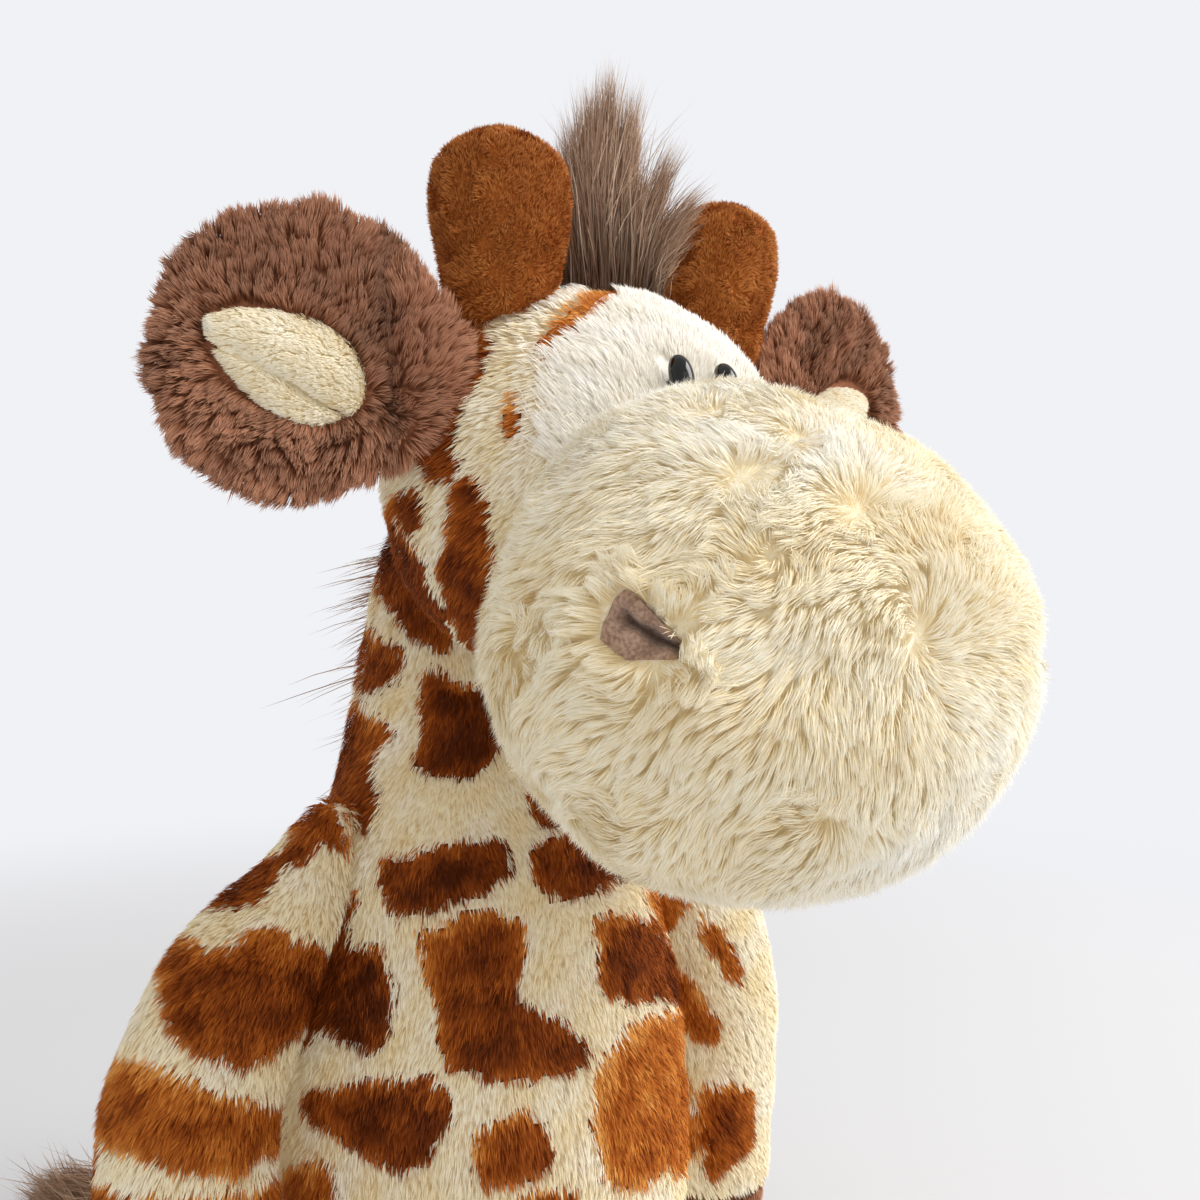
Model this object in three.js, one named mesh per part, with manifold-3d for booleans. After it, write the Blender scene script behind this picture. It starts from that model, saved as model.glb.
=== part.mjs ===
// A sitting plush giraffe: a pear-shaped body that rises into the neck, a round head with a huge
// muzzle, horns, ears, two arms, two legs and a tail. Millimetres, +Z up, facing -Y, its left is +X.
import * as THREE from "three";
import { mergeVertices } from "three/addons/utils/BufferGeometryUtils.js";
import Module from "manifold-3d";

const wasm = await Module();
wasm.setup();

// Driving dimensions. Sewn seams and seats keep this room between two pieces.
const SEAM_GAP = 0.3;
const SWING_GAP = 0.5;
const CUT_OVERRUN = 60;

// Body and neck: one stuffed skin that stands on a sewn-in base panel.
const BODY_HEIGHT = 238;
const BELLY_HALF_WIDTH = 57;
const BELLY_HALF_DEPTH = 53;
const NECK_SHIFT_X = -5;
const NECK_SHIFT_Y = 3;
const NECK_NOD_X = 6;
const NECK_NOD_Y = -10;
const SKIN_THICKNESS = 3;
const BASE_THICKNESS = 2;
const BASE_RADIUS = 41;
const BASE_SEAM = 1.4;
const PELLET_BAG_RADIUS = 33;
const PELLET_BAG_HEIGHT = 24;

// Head: a ball that sits in front of the neck, turned and rolled a little to the giraffe's left.
const HEAD_X = 11;
const HEAD_Y = -37;
const HEAD_SINK = 5;
const HEAD_Z = BODY_HEIGHT - HEAD_SINK;
const HEAD_HALF_WIDTH = 52;
const HEAD_HALF_DEPTH = 50;
const HEAD_HALF_HEIGHT = 50;
const HEAD_TURN_DEG = 2;
const HEAD_ROLL_DEG = 3;
const FOREHEAD_THICKNESS = 1.4;
const FOREHEAD_HALF_WIDTH = 38;
const FOREHEAD_HALF_HEIGHT = 46;

// Muzzle: the largest ball of the head, in front of it and below.
const MUZZLE_X = 8;
const MUZZLE_Y = -62;
const MUZZLE_Z = -38;
const MUZZLE_HALF_WIDTH = 60;
const MUZZLE_HALF_DEPTH = 49;
const MUZZLE_HALF_HEIGHT = 51.5;
const NOSTRIL_LENGTH = 17;
const NOSTRIL_HEIGHT = 14;
const NOSTRIL_FELT = 1.6;
const NOSTRIL_TURN_DEG = 61;
const NOSTRIL_RISE = 3;

// Eyes: glossy domes on a stem, held behind the fabric by a washer.
const EYE_SPACING = 12.4;
const EYE_RISE = 20;
const EYE_HALF_WIDTH = 2.9;
const EYE_HALF_HEIGHT = 5.6;
const EYE_DOME = 3.4;
const EYE_TILT_DEG = 22;
const EYE_STEM_RADIUS = 1.5;
const EYE_STEM_LENGTH = 10;
const EYE_WASHER_RADIUS = 5;
const EYE_WASHER_THICKNESS = 1.4;
const EYE_WASHER_DEPTH = 5;

// Horns, standing on the head and leaning apart.
const HORN_SPACING = 59;
const HORN_Y = -6;
const HORN_TOP = 80;
const HORN_RADIUS = 15;
const HORN_SPREAD_DEG = 4;

// Ears: broad flat pads on an upright root, each with a lining on its front.
const EAR_ROOT_INSET = 11;
const EAR_ROOT_X = HEAD_HALF_WIDTH - EAR_ROOT_INSET;
const EAR_ROOT_Y = -13;
const EAR_ROOT_Z = 18;
const EAR_LENGTH = 68;
const EAR_HALF_HEIGHT = 32.5;
const EAR_HALF_THICKNESS = 6;
const EAR_SWEEP_DEG = 16;
const EAR_LIFT_RIGHT_DEG = 10;
const EAR_LIFT_LEFT_DEG = 17;
const EAR_SWING_DEG = 20;
const LINING_LENGTH = 40;
const LINING_HALF_HEIGHT = 14;
const LINING_THICKNESS = 2.4;

// Hair: the tuft between the horns and the mane down the back of the head and neck.
const TUFT_HEIGHT = 56;
const TUFT_LEAN = -4;
const TUFT_HALF_WIDTH = 13;
const TUFT_ROOT_Z = 44;
const MANE_HALF_WIDTH = 7;
const MANE_DEPTH = 18;

// Arms: sewn at the shoulders and hanging beside the body, with a hoof-like hand.
const shoulderWidthShare = 0.8772;
const shoulderHeightShare = 0.5882;
const SHOULDER_X = BELLY_HALF_WIDTH * shoulderWidthShare;
const SHOULDER_Y = -9;
const SHOULDER_Z = BODY_HEIGHT * shoulderHeightShare;
const ARM_REACH_RIGHT = 31;
const ARM_REACH_LEFT = 25;
const ARM_SET_BACK_LEFT_DEG = 8;
const ARM_HALF_WIDTH = 20.5;
const ARM_FLOOR_GAP = 4.4;
const HAND_LENGTH = 27.5;
const ARM_SWING_BACK_DEG = 20;
const ARM_SWING_FORWARD_DEG = 60;
const SHOULDER_TILT_DEG = 7;

// Legs: sewn at the hips and stretched forward on the floor, with a hoof-like foot and a felt sole.
const HIP_X = 30;
const HIP_Y = -34;
const LEG_LENGTH = 118;
const LEG_RADIUS = 20.5;
const LEG_SPREAD_DEG = 9;
const LEG_FLOOR_GAP = 0.5;
const FOOT_LENGTH = 30;
const SOLE_THICKNESS = 1.6;
const SOLE_RADIUS = 17;
const TOE_ROUND = 4;
const LEG_SWING_IN_DEG = 4;
const LEG_SWING_OUT_DEG = 22;

// Tail: a thin stuffed cord on the floor, with a tuft of hair at its end.
const TAIL_ROOT_STAND_OFF = 3;
const TAIL_ROOT_Y = BELLY_HALF_DEPTH + TAIL_ROOT_STAND_OFF;
const TAIL_ROOT_Z = 17;
const TAIL_RADIUS = 5;
const TAIL_REACH_X = 84;
const TAIL_REACH_Y = 49;
const TAIL_FLOOR_GAP = 1;
const TAIL_TUFT_LENGTH = 44;
const TAIL_TUFT_RADIUS = 13;
const TAIL_SWING_DEG = 20;

// Facets of the round forms.
const BODY_SIDES = 26;
const BALL_SIDES = 24;
const BALL_BANDS = 12;
const LIMB_SIDES = 16;
const SMALL_SIDES = 10;
const END_BANDS = 3;
const DART_SEGMENTS = 6;
const HORN_STEPS = 5;
const EAR_STEPS = 7;
const TUFT_STEPS = 6;
const MANE_STEPS = 12;
const ARM_STEPS = 10;
const LEG_STEPS = 8;
const TAIL_STEPS = 14;
const ARM_CUTS = 12;
const EAR_CUTS = 6;

const radians = THREE.MathUtils.degToRad;
const lerpTable = (table, at) => {
  const place = at * (table.length - 1);
  const from = Math.min(Math.floor(place), table.length - 2);
  return THREE.MathUtils.lerp(table[from], table[from + 1], place - from);
};

// Finishes, by colour and roughness.
const finish = (color, roughness) => new THREE.MeshStandardMaterial({ color, roughness, metalness: 0 });
const CREAM_PLUSH = finish(0xefe3c4, 0.95);
const PALE_PLUSH = finish(0xf3ecdb, 0.95);
const RUST_PLUSH = finish(0x99541f, 0.95);
const BROWN_PLUSH = finish(0x785240, 0.95);
const HAIR = finish(0x6b574a, 0.8);
const TAUPE_FELT = finish(0x8c6e5e, 0.95);
const BLACK_GLOSS = finish(0x0b0b0d, 0.1);
const WHITE_PLASTIC = finish(0xe8e8e4, 0.4);
const FIBRE = finish(0xf6f6f4, 1);
const COTTON = finish(0xe4dccb, 0.9);

// A closed skin through rings of points: each ring joins the next, and the two end rings are
// closed on the points given for them.
function closedSkin(rings, firstTip, lastTip) {
  const sides = rings[0].length;
  const points = [firstTip, ...rings.flat(), lastTip];
  const last = points.length - 1;
  const ringStart = (ring) => 1 + ring * sides;
  const index = [];
  for (let side = 0; side < sides; side += 1) {
    const next = (side + 1) % sides;
    index.push(0, ringStart(0) + next, ringStart(0) + side);
    for (let ring = 0; ring + 1 < rings.length; ring += 1) {
      const low = ringStart(ring);
      const high = ringStart(ring + 1);
      index.push(low + side, low + next, high + next, low + side, high + next, high + side);
    }
    const end = ringStart(rings.length - 1);
    index.push(end + side, end + next, last);
  }
  const geometry = new THREE.BufferGeometry().setFromPoints(points);
  geometry.setIndex(index);
  return geometry;
}

// A ring of points round a centre, with its half widths along two directions.
function ringAt(centre, across, halfAcross, up, halfUp, sides) {
  return Array.from({ length: sides }, (_, side) => {
    const angle = (2 * Math.PI * side) / sides;
    return centre.clone()
      .addScaledVector(across, halfAcross * Math.cos(angle))
      .addScaledVector(up, halfUp * Math.sin(angle));
  });
}

const X_AXIS = new THREE.Vector3(1, 0, 0);
const Y_AXIS = new THREE.Vector3(0, 1, 0);
const Z_AXIS = new THREE.Vector3(0, 0, 1);

// An egg about its own centre, drawn as rings from its bottom to its top.
function eggForm(halfWidth, halfDepth, halfHeight, sides, bands) {
  const rings = [];
  for (let band = 1; band < bands; band += 1) {
    const angle = (Math.PI * band) / bands - Math.PI / 2;
    const girth = Math.cos(angle);
    const centre = new THREE.Vector3(0, 0, halfHeight * Math.sin(angle));
    rings.push(ringAt(centre, X_AXIS, halfWidth * girth, Y_AXIS, halfDepth * girth, sides));
  }
  return closedSkin(rings, new THREE.Vector3(0, 0, -halfHeight), new THREE.Vector3(0, 0, halfHeight));
}

// A stuffed tube with round ends along a smooth curve. The half widths run from its start to its
// end; across says which way the first of them lies, and the second is square to it.
function tubeForm(spine, halfWidths, halfDepths, across, sides, steps, grow = 0) {
  const curve = new THREE.CatmullRomCurve3(spine);
  const length = curve.getLength();
  const stations = [];
  const startCap = Math.min(halfWidths[0], halfDepths[0]) + grow;
  const endCap = Math.min(halfWidths.at(-1), halfDepths.at(-1)) + grow;
  for (let band = 1; band <= END_BANDS; band += 1) {
    const angle = (Math.PI / 2) * (band / END_BANDS);
    stations.push([startCap * (1 - Math.cos(angle)) - grow, Math.sin(angle)]);
  }
  const straight = length - startCap - endCap + 2 * grow;
  for (let step = 1; step < steps; step += 1) {
    stations.push([startCap - grow + (straight * step) / steps, 1]);
  }
  for (let band = END_BANDS; band >= 1; band -= 1) {
    const angle = (Math.PI / 2) * (band / END_BANDS);
    stations.push([length + grow - endCap * (1 - Math.cos(angle)), Math.sin(angle)]);
  }
  const pointAt = (distance) => {
    const at = THREE.MathUtils.clamp(distance / length, 0, 1);
    const tangent = curve.getTangentAt(at);
    return { at, tangent, point: curve.getPointAt(at).addScaledVector(tangent, distance - at * length) };
  };
  const rings = stations.map(([distance, girth]) => {
    const { at, tangent, point } = pointAt(distance);
    const up = new THREE.Vector3().crossVectors(tangent, across).normalize();
    const flat = new THREE.Vector3().crossVectors(up, tangent);
    const halfFlat = (lerpTable(halfWidths, at) + grow) * girth;
    return ringAt(point, flat, halfFlat, up, (lerpTable(halfDepths, at) + grow) * girth, sides);
  });
  return closedSkin(rings, pointAt(-grow).point, pointAt(length + grow).point);
}

// A solid for cutting and joining, from a closed geometry moved by a matrix.
function solidOf(geometry, matrix = new THREE.Matrix4()) {
  const bare = geometry.clone();
  bare.deleteAttribute("normal");
  bare.deleteAttribute("uv");
  const merged = mergeVertices(bare.applyMatrix4(matrix));
  return new wasm.Manifold(new wasm.Mesh({
    numProp: 3,
    vertProperties: new Float32Array(merged.attributes.position.array),
    triVerts: new Uint32Array(merged.index.array),
  }));
}

// A named mesh in a group, from a solid in the toy's own frame.
function addPiece(group, name, solid, material) {
  const { vertProperties, triVerts } = solid.getMesh();
  const geometry = new THREE.BufferGeometry();
  geometry.setAttribute("position", new THREE.BufferAttribute(new Float32Array(vertProperties), 3));
  geometry.setIndex(new THREE.BufferAttribute(new Uint32Array(triVerts), 1));
  geometry.applyMatrix4(group.matrixWorld.clone().invert());
  const mesh = new THREE.Mesh(geometry, material);
  mesh.name = name;
  group.add(mesh);
}

// A group placed in another, with its world matrix ready for use.
function placeGroup(parent, x, y, z, turnX = 0, turnY = 0, turnZ = 0) {
  const group = new THREE.Group();
  group.position.set(x, y, z);
  group.rotation.set(turnX, turnY, turnZ, "ZYX");
  parent.add(group);
  group.updateWorldMatrix(true, false);
  return group;
}

const cylinderForm = (radius, length, sides) => new THREE.CylinderGeometry(radius, radius, length, sides);
const moved = (x, y, z) => new THREE.Matrix4().makeTranslation(x, y, z);

// Everything on one side of a plane: above it, or below it for a sign of -1.
const halfSpace = (matrix, size, sign) => {
  const block = new THREE.BoxGeometry(size, size, size);
  return solidOf(block, matrix.clone().multiply(moved(0, 0, (sign * size) / 2)));
};

// Even turns over a swing, and the cutting solid turned about an axis through a pivot.
const turnsOver = (from, to, cuts) => Array.from(
  { length: cuts + 1 }, (_, cut) => THREE.MathUtils.lerp(from, to, cut / cuts));
function swungBack(solid, pivot, axis, degrees) {
  const turn = new THREE.Matrix4().makeRotationAxis(axis, radians(degrees));
  const inverse = pivot.matrixWorld.clone().invert();
  return solid.transform(pivot.matrixWorld.clone().multiply(turn).multiply(inverse).elements);
}

const toy = new THREE.Group();

// Body: rings from the seat to the top of the neck. Each row has shares of the body's height, of
// the belly's half width, of its half depth, of the neck's shift and of its nod into the head.
const bodyRowShares = [
  [0, 0.8, 0.8, 0, 0], [0.03, 0.9, 0.9, 0, 0], [0.09, 0.965, 0.965, 0, 0], [0.2, 1, 1, 0, 0],
  [0.3, 1, 1, 0, 0], [0.4, 0.96, 0.96, 0, 0], [0.49, 0.885, 0.9, 0.05, 0],
  [0.56, 0.81, 0.835, 0.15, 0], [0.63, 0.72, 0.75, 0.35, 0], [0.7, 0.625, 0.66, 0.6, 0],
  [0.77, 0.54, 0.58, 0.85, 0], [0.85, 0.485, 0.525, 1, 0.1], [0.92, 0.46, 0.495, 1, 0.45],
  [0.965, 0.38, 0.41, 1, 0.8], [0.99, 0.22, 0.24, 1, 1],
];
const BODY_BOTTOM = BASE_THICKNESS + SEAM_GAP;

const bodyRows = bodyRowShares.map(([heightShare, widthShare, depthShare, shiftShare, nodShare]) => ({
  x: NECK_SHIFT_X * shiftShare + NECK_NOD_X * nodShare,
  y: NECK_SHIFT_Y * shiftShare + NECK_NOD_Y * nodShare,
  height: BODY_BOTTOM + (BODY_HEIGHT - BODY_BOTTOM) * heightShare,
  halfWidth: BELLY_HALF_WIDTH * widthShare,
  halfDepth: BELLY_HALF_DEPTH * depthShare,
}));

// The body's outer form, or the same form grown square to its surface.
function bodyForm(grow = 0) {
  const rowsBelow = [bodyRows[0], ...bodyRows];
  const rowsAbove = [...bodyRows.slice(1), bodyRows.at(-1)];
  const rings = bodyRows.map((row, place) => {
    const [below, above] = [rowsBelow[place], rowsAbove[place]];
    const slope = (above.halfWidth - below.halfWidth) / (above.height - below.height);
    const outward = place === 0 ? 1 : 1 / Math.hypot(1, slope);
    const lift = place === 0 ? -grow : -slope * outward * grow;
    const centre = new THREE.Vector3(row.x, row.y, row.height + lift);
    const halfWidth = row.halfWidth + grow * outward;
    return ringAt(centre, X_AXIS, halfWidth, Y_AXIS, row.halfDepth + grow * outward, BODY_SIDES);
  });
  const bottom = new THREE.Vector3(0, 0, BODY_BOTTOM - grow);
  const top = bodyRows.at(-1);
  return closedSkin(rings, bottom, new THREE.Vector3(top.x, top.y, BODY_HEIGHT + grow));
}

const bodySolid = solidOf(bodyForm());
const bodyClear = solidOf(bodyForm(SEAM_GAP));
const upright = new THREE.Matrix4().makeRotationX(Math.PI / 2);
const seatHole = solidOf(cylinderForm(BASE_RADIUS, CUT_OVERRUN, BODY_SIDES), upright);
const bodyHollow = solidOf(bodyForm(-SKIN_THICKNESS)).add(seatHole);
addPiece(toy, "body_skin", bodySolid.subtract(bodyHollow), CREAM_PLUSH);

// The pellet bag lies flat on the base panel, and the stuffing fills the rest of the skin.
const pelletForm = (grow) => {
  const bag = eggForm(PELLET_BAG_RADIUS + grow, PELLET_BAG_RADIUS + grow, PELLET_BAG_HEIGHT + grow,
    LIMB_SIDES, SMALL_SIDES);
  return solidOf(bag, moved(0, 0, BODY_BOTTOM));
};
const aboveBase = halfSpace(moved(0, 0, BODY_BOTTOM), BODY_HEIGHT * 2, 1);
addPiece(toy, "pellet_bag", pelletForm(0).intersect(aboveBase), COTTON);
const stuffing = solidOf(bodyForm(-SKIN_THICKNESS - SEAM_GAP));
addPiece(toy, "body_stuffing", stuffing.subtract(pelletForm(SEAM_GAP)), FIBRE);
const BASE_RIM = BASE_RADIUS + BASE_SEAM;
const panelTurn = upright.clone().setPosition(0, 0, BASE_THICKNESS / 2);
addPiece(toy, "base_panel", solidOf(cylinderForm(BASE_RIM, BASE_THICKNESS, BODY_SIDES), panelTurn), BROWN_PLUSH);
const panelRoom = cylinderForm(BASE_RIM + SEAM_GAP, BASE_THICKNESS + 2 * SEAM_GAP, BODY_SIDES);
const seatClear = bodyClear.add(solidOf(panelRoom, panelTurn));

// Head and muzzle. The muzzle is the larger ball, so the head is cut by it and by the neck.
const head = placeGroup(toy, HEAD_X, HEAD_Y, HEAD_Z, 0, radians(HEAD_ROLL_DEG), radians(HEAD_TURN_DEG));
const headForm = (grow) => eggForm(
  HEAD_HALF_WIDTH + grow, HEAD_HALF_DEPTH + grow, HEAD_HALF_HEIGHT + grow, BALL_SIDES, BALL_BANDS);
const headClear = solidOf(headForm(SEAM_GAP), head.matrixWorld);
const muzzle = placeGroup(head, MUZZLE_X, MUZZLE_Y, MUZZLE_Z);
const muzzleForm = (grow) => eggForm(
  MUZZLE_HALF_WIDTH + grow, MUZZLE_HALF_DEPTH + grow, MUZZLE_HALF_HEIGHT + grow, BALL_SIDES, BALL_BANDS);
const muzzleClear = solidOf(muzzleForm(SEAM_GAP), muzzle.matrixWorld);
let muzzleSolid = solidOf(muzzleForm(0), muzzle.matrixWorld).subtract(bodyClear);

// Nostrils: a felt dart on each side of the muzzle, laid in a shallow seat and pointing forward.
const dartForm = (room) => {
  const back = NOSTRIL_LENGTH / 2 + room;
  const rise = NOSTRIL_HEIGHT / 2 + room;
  const dart = new THREE.Shape();
  dart.moveTo(-back, -rise);
  dart.quadraticCurveTo(0, -rise, back, 0);
  dart.quadraticCurveTo(0, rise, -back, rise);
  dart.closePath();
  const reach = MUZZLE_HALF_DEPTH;
  const felt = new THREE.ExtrudeGeometry(dart, { depth: reach, bevelEnabled: false, curveSegments: DART_SEGMENTS });
  return felt.translate(0, 0, -reach / 2).rotateX(Math.PI / 2);
};
const muzzleShell = (thickness, proud) => solidOf(muzzleForm(proud), muzzle.matrixWorld)
  .subtract(solidOf(muzzleForm(-thickness), muzzle.matrixWorld));
for (const [side, sign] of [["right", -1], ["left", 1]]) {
  const turn = radians(sign * NOSTRIL_TURN_DEG);
  const reach = 1 / Math.hypot(Math.sin(turn) / MUZZLE_HALF_WIDTH, Math.cos(turn) / MUZZLE_HALF_DEPTH);
  const nostril = placeGroup(
    muzzle, reach * Math.sin(turn), -reach * Math.cos(turn), NOSTRIL_RISE, 0, 0, turn);
  const facing = nostril.matrixWorld.clone().multiply(new THREE.Matrix4().makeRotationY(sign > 0 ? Math.PI : 0));
  addPiece(nostril, `nostril_${side}`,
    muzzleShell(NOSTRIL_FELT, 0).intersect(solidOf(dartForm(0), facing)), TAUPE_FELT);
  muzzleSolid = muzzleSolid.subtract(
    muzzleShell(NOSTRIL_FELT + SEAM_GAP, NOSTRIL_FELT).intersect(solidOf(dartForm(SEAM_GAP), facing)));
}
addPiece(muzzle, "muzzle", muzzleSolid, CREAM_PLUSH);
let headSolid = solidOf(headForm(0), head.matrixWorld).subtract(bodyClear).subtract(muzzleClear);

// Forehead: its own panel of pale plush over the front and top of the head, above the muzzle.
const panelOutline = solidOf(cylinderForm(1, HEAD_HALF_DEPTH, BALL_SIDES),
  head.matrixWorld.clone()
    .multiply(moved(0, -HEAD_HALF_DEPTH / 2, 0))
    .multiply(new THREE.Matrix4().makeScale(FOREHEAD_HALF_WIDTH, 1, FOREHEAD_HALF_HEIGHT)));
let forehead = solidOf(headForm(SEAM_GAP + FOREHEAD_THICKNESS), head.matrixWorld)
  .subtract(headClear).intersect(panelOutline).subtract(muzzleClear)
  .intersect(halfSpace(head.matrixWorld, CUT_OVERRUN * 2, 1));

// Eyes: each dome sits on the forehead, and its stem goes through the fabric to a washer inside.
const eyeDirection = Math.asin(EYE_RISE / HEAD_HALF_HEIGHT);
for (const [side, sign] of [["right", -1], ["left", 1]]) {
  const seatDepth = (HEAD_HALF_DEPTH + 2 * SEAM_GAP + FOREHEAD_THICKNESS) * Math.cos(eyeDirection);
  const eye = placeGroup(head, (sign * EYE_SPACING) / 2, -seatDepth, EYE_RISE, radians(-EYE_TILT_DEG));
  const dome = eggForm(EYE_HALF_WIDTH, EYE_DOME, EYE_HALF_HEIGHT, LIMB_SIDES, SMALL_SIDES);
  const stemTurn = (length) => moved(0, length / 2, 0);
  const stem = cylinderForm(EYE_STEM_RADIUS, EYE_STEM_LENGTH, SMALL_SIDES);
  const bore = cylinderForm(EYE_STEM_RADIUS + SEAM_GAP, EYE_STEM_LENGTH + 2 * EYE_DOME, SMALL_SIDES);
  const washer = cylinderForm(EYE_WASHER_RADIUS, EYE_WASHER_THICKNESS, LIMB_SIDES);
  const pocket = cylinderForm(EYE_WASHER_RADIUS + SEAM_GAP, EYE_WASHER_THICKNESS + 2 * SEAM_GAP, LIMB_SIDES);
  const domeSolid = solidOf(dome, eye.matrixWorld).intersect(halfSpace(
    eye.matrixWorld.clone().multiply(new THREE.Matrix4().makeRotationX(Math.PI / 2)), CUT_OVERRUN, 1));
  const stemSolid = solidOf(stem, eye.matrixWorld.clone().multiply(stemTurn(EYE_STEM_LENGTH - EYE_DOME)));
  const boreSolid = solidOf(bore, eye.matrixWorld.clone().multiply(moved(0, EYE_STEM_LENGTH / 2, 0)));
  const washerPlace = eye.matrixWorld.clone().multiply(moved(0, EYE_WASHER_DEPTH, 0));
  addPiece(eye, `eye_${side}`, domeSolid.add(stemSolid), BLACK_GLOSS);
  addPiece(eye, `eye_washer_${side}`, solidOf(washer, washerPlace).subtract(boreSolid), WHITE_PLASTIC);
  headSolid = headSolid.subtract(boreSolid).subtract(solidOf(pocket, washerPlace));
  forehead = forehead.subtract(boreSolid);
}
addPiece(head, "forehead_panel", forehead, PALE_PLUSH);

// Horns: short stuffed pegs that widen to a round top, with their feet shaped to the head.
const hornRiseShares = [0.42, 0.6, 0.75, 0.9, 1];
const hornGirthShares = [0.88, 0.88, 0.96, 1, 0.98];
const headRoom = headClear.add(
  solidOf(headForm(2 * SEAM_GAP + FOREHEAD_THICKNESS), head.matrixWorld).intersect(panelOutline));
for (const [side, sign] of [["right", -1], ["left", 1]]) {
  const horn = placeGroup(head, (sign * HORN_SPACING) / 2, HORN_Y, 0, 0, radians(sign * HORN_SPREAD_DEG));
  const heights = hornRiseShares.map((share) => new THREE.Vector3(0, 0, HORN_TOP * share));
  const girths = hornGirthShares.map((share) => HORN_RADIUS * share);
  const peg = tubeForm(heights, girths, girths, X_AXIS, LIMB_SIDES, HORN_STEPS);
  addPiece(horn, `horn_${side}`, solidOf(peg, horn.matrixWorld).subtract(headRoom), RUST_PLUSH);
}

// Ears: each turns on its upright root, so its seat in the head is the room that it sweeps. The
// rows are shares of its reach, of its half height and of its half thickness.
const earRowShares = [
  [0, 0.45, 1], [0.1, 0.6, 1], [0.25, 0.86, 1], [0.45, 1, 0.9], [0.65, 0.98, 0.85],
  [0.82, 0.82, 0.8], [0.93, 0.58, 0.75], [1, 0.34, 0.7],
];
const liningReachShare = 0.6;
const liningSeatShare = 0.9;
for (const [side, sign, lift] of [["right", -1, EAR_LIFT_RIGHT_DEG], ["left", 1, EAR_LIFT_LEFT_DEG]]) {
  const root = placeGroup(head, sign * EAR_ROOT_X, EAR_ROOT_Y, EAR_ROOT_Z);
  const ear = placeGroup(root, 0, 0, 0, 0, radians(-sign * lift), radians(sign * EAR_SWEEP_DEG));
  const spine = earRowShares.map(([reachShare]) => new THREE.Vector3(sign * EAR_LENGTH * reachShare, 0, 0));
  const heights = earRowShares.map(([, heightShare]) => EAR_HALF_HEIGHT * heightShare);
  const thickness = earRowShares.map(([, , thickShare]) => EAR_HALF_THICKNESS * thickShare);
  const pad = (grow) => solidOf(
    tubeForm(spine, thickness, heights, Y_AXIS, LIMB_SIDES, EAR_STEPS, grow), ear.matrixWorld);
  for (const turn of turnsOver(-EAR_SWING_DEG, EAR_SWING_DEG, EAR_CUTS)) {
    headSolid = headSolid.subtract(swungBack(pad(SWING_GAP), root, Z_AXIS, turn));
  }
  const liningPlace = ear.matrixWorld.clone()
    .multiply(moved(sign * EAR_LENGTH * liningReachShare, -EAR_HALF_THICKNESS * liningSeatShare, 0));
  const lining = (grow) => solidOf(eggForm(LINING_LENGTH / 2 + grow, LINING_THICKNESS + grow,
    LINING_HALF_HEIGHT + grow, LIMB_SIDES, SMALL_SIDES), liningPlace);
  addPiece(ear, `ear_${side}`, pad(0).subtract(lining(SEAM_GAP)), BROWN_PLUSH);
  addPiece(ear, `ear_lining_${side}`, lining(0), CREAM_PLUSH);
}
addPiece(head, "head", headSolid, CREAM_PLUSH);

// Hair: the tuft stands between the horns. Rows are shares of its rise, its width and its lean.
const tuftRowShares = [[0, 0.8, 0], [0.25, 1, 0.1], [0.5, 0.92, 0.35], [0.75, 0.6, 0.7], [1, 0.2, 1]];
const tuftFlatShare = 0.6;
const tuftSpine = tuftRowShares.map(([riseShare, , leanShare]) => new THREE.Vector3(
  TUFT_LEAN * leanShare, HORN_Y, TUFT_ROOT_Z + TUFT_HEIGHT * riseShare));
const tuftWidths = tuftRowShares.map(([, widthShare]) => TUFT_HALF_WIDTH * widthShare);
const tuftDepths = tuftWidths.map((width) => width * tuftFlatShare);
const tuft = tubeForm(tuftSpine, tuftWidths, tuftDepths, X_AXIS, SMALL_SIDES, TUFT_STEPS);
addPiece(head, "hair_tuft", solidOf(tuft, head.matrixWorld).subtract(headRoom), HAIR);

// The mane follows the back of the head down to the neck, and then the back of the neck.
const maneHeadTurnShares = [0.28, 0.5, 0.75, 1];
const maneNeckRows = [11, 10, 9, 8];
const maneGirthShares = [0.6, 1, 1, 1, 1, 1, 0.85, 0.5];
const maneSpine = [
  ...maneHeadTurnShares.map((share) => new THREE.Vector3(
    0, HEAD_HALF_DEPTH * Math.sin(share * Math.PI / 2), HEAD_HALF_HEIGHT * Math.cos(share * Math.PI / 2))
    .applyMatrix4(head.matrixWorld)),
  ...maneNeckRows.map((row) => new THREE.Vector3(
    bodyRows[row].x, bodyRows[row].y + bodyRows[row].halfDepth, bodyRows[row].height)),
];
const maneTube = tubeForm(maneSpine, maneGirthShares.map((share) => MANE_HALF_WIDTH * share),
  maneGirthShares.map((share) => (MANE_DEPTH * share) / 2), X_AXIS, SMALL_SIDES, MANE_STEPS);
addPiece(toy, "mane", solidOf(maneTube).subtract(headClear).subtract(bodyClear), HAIR);

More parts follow.
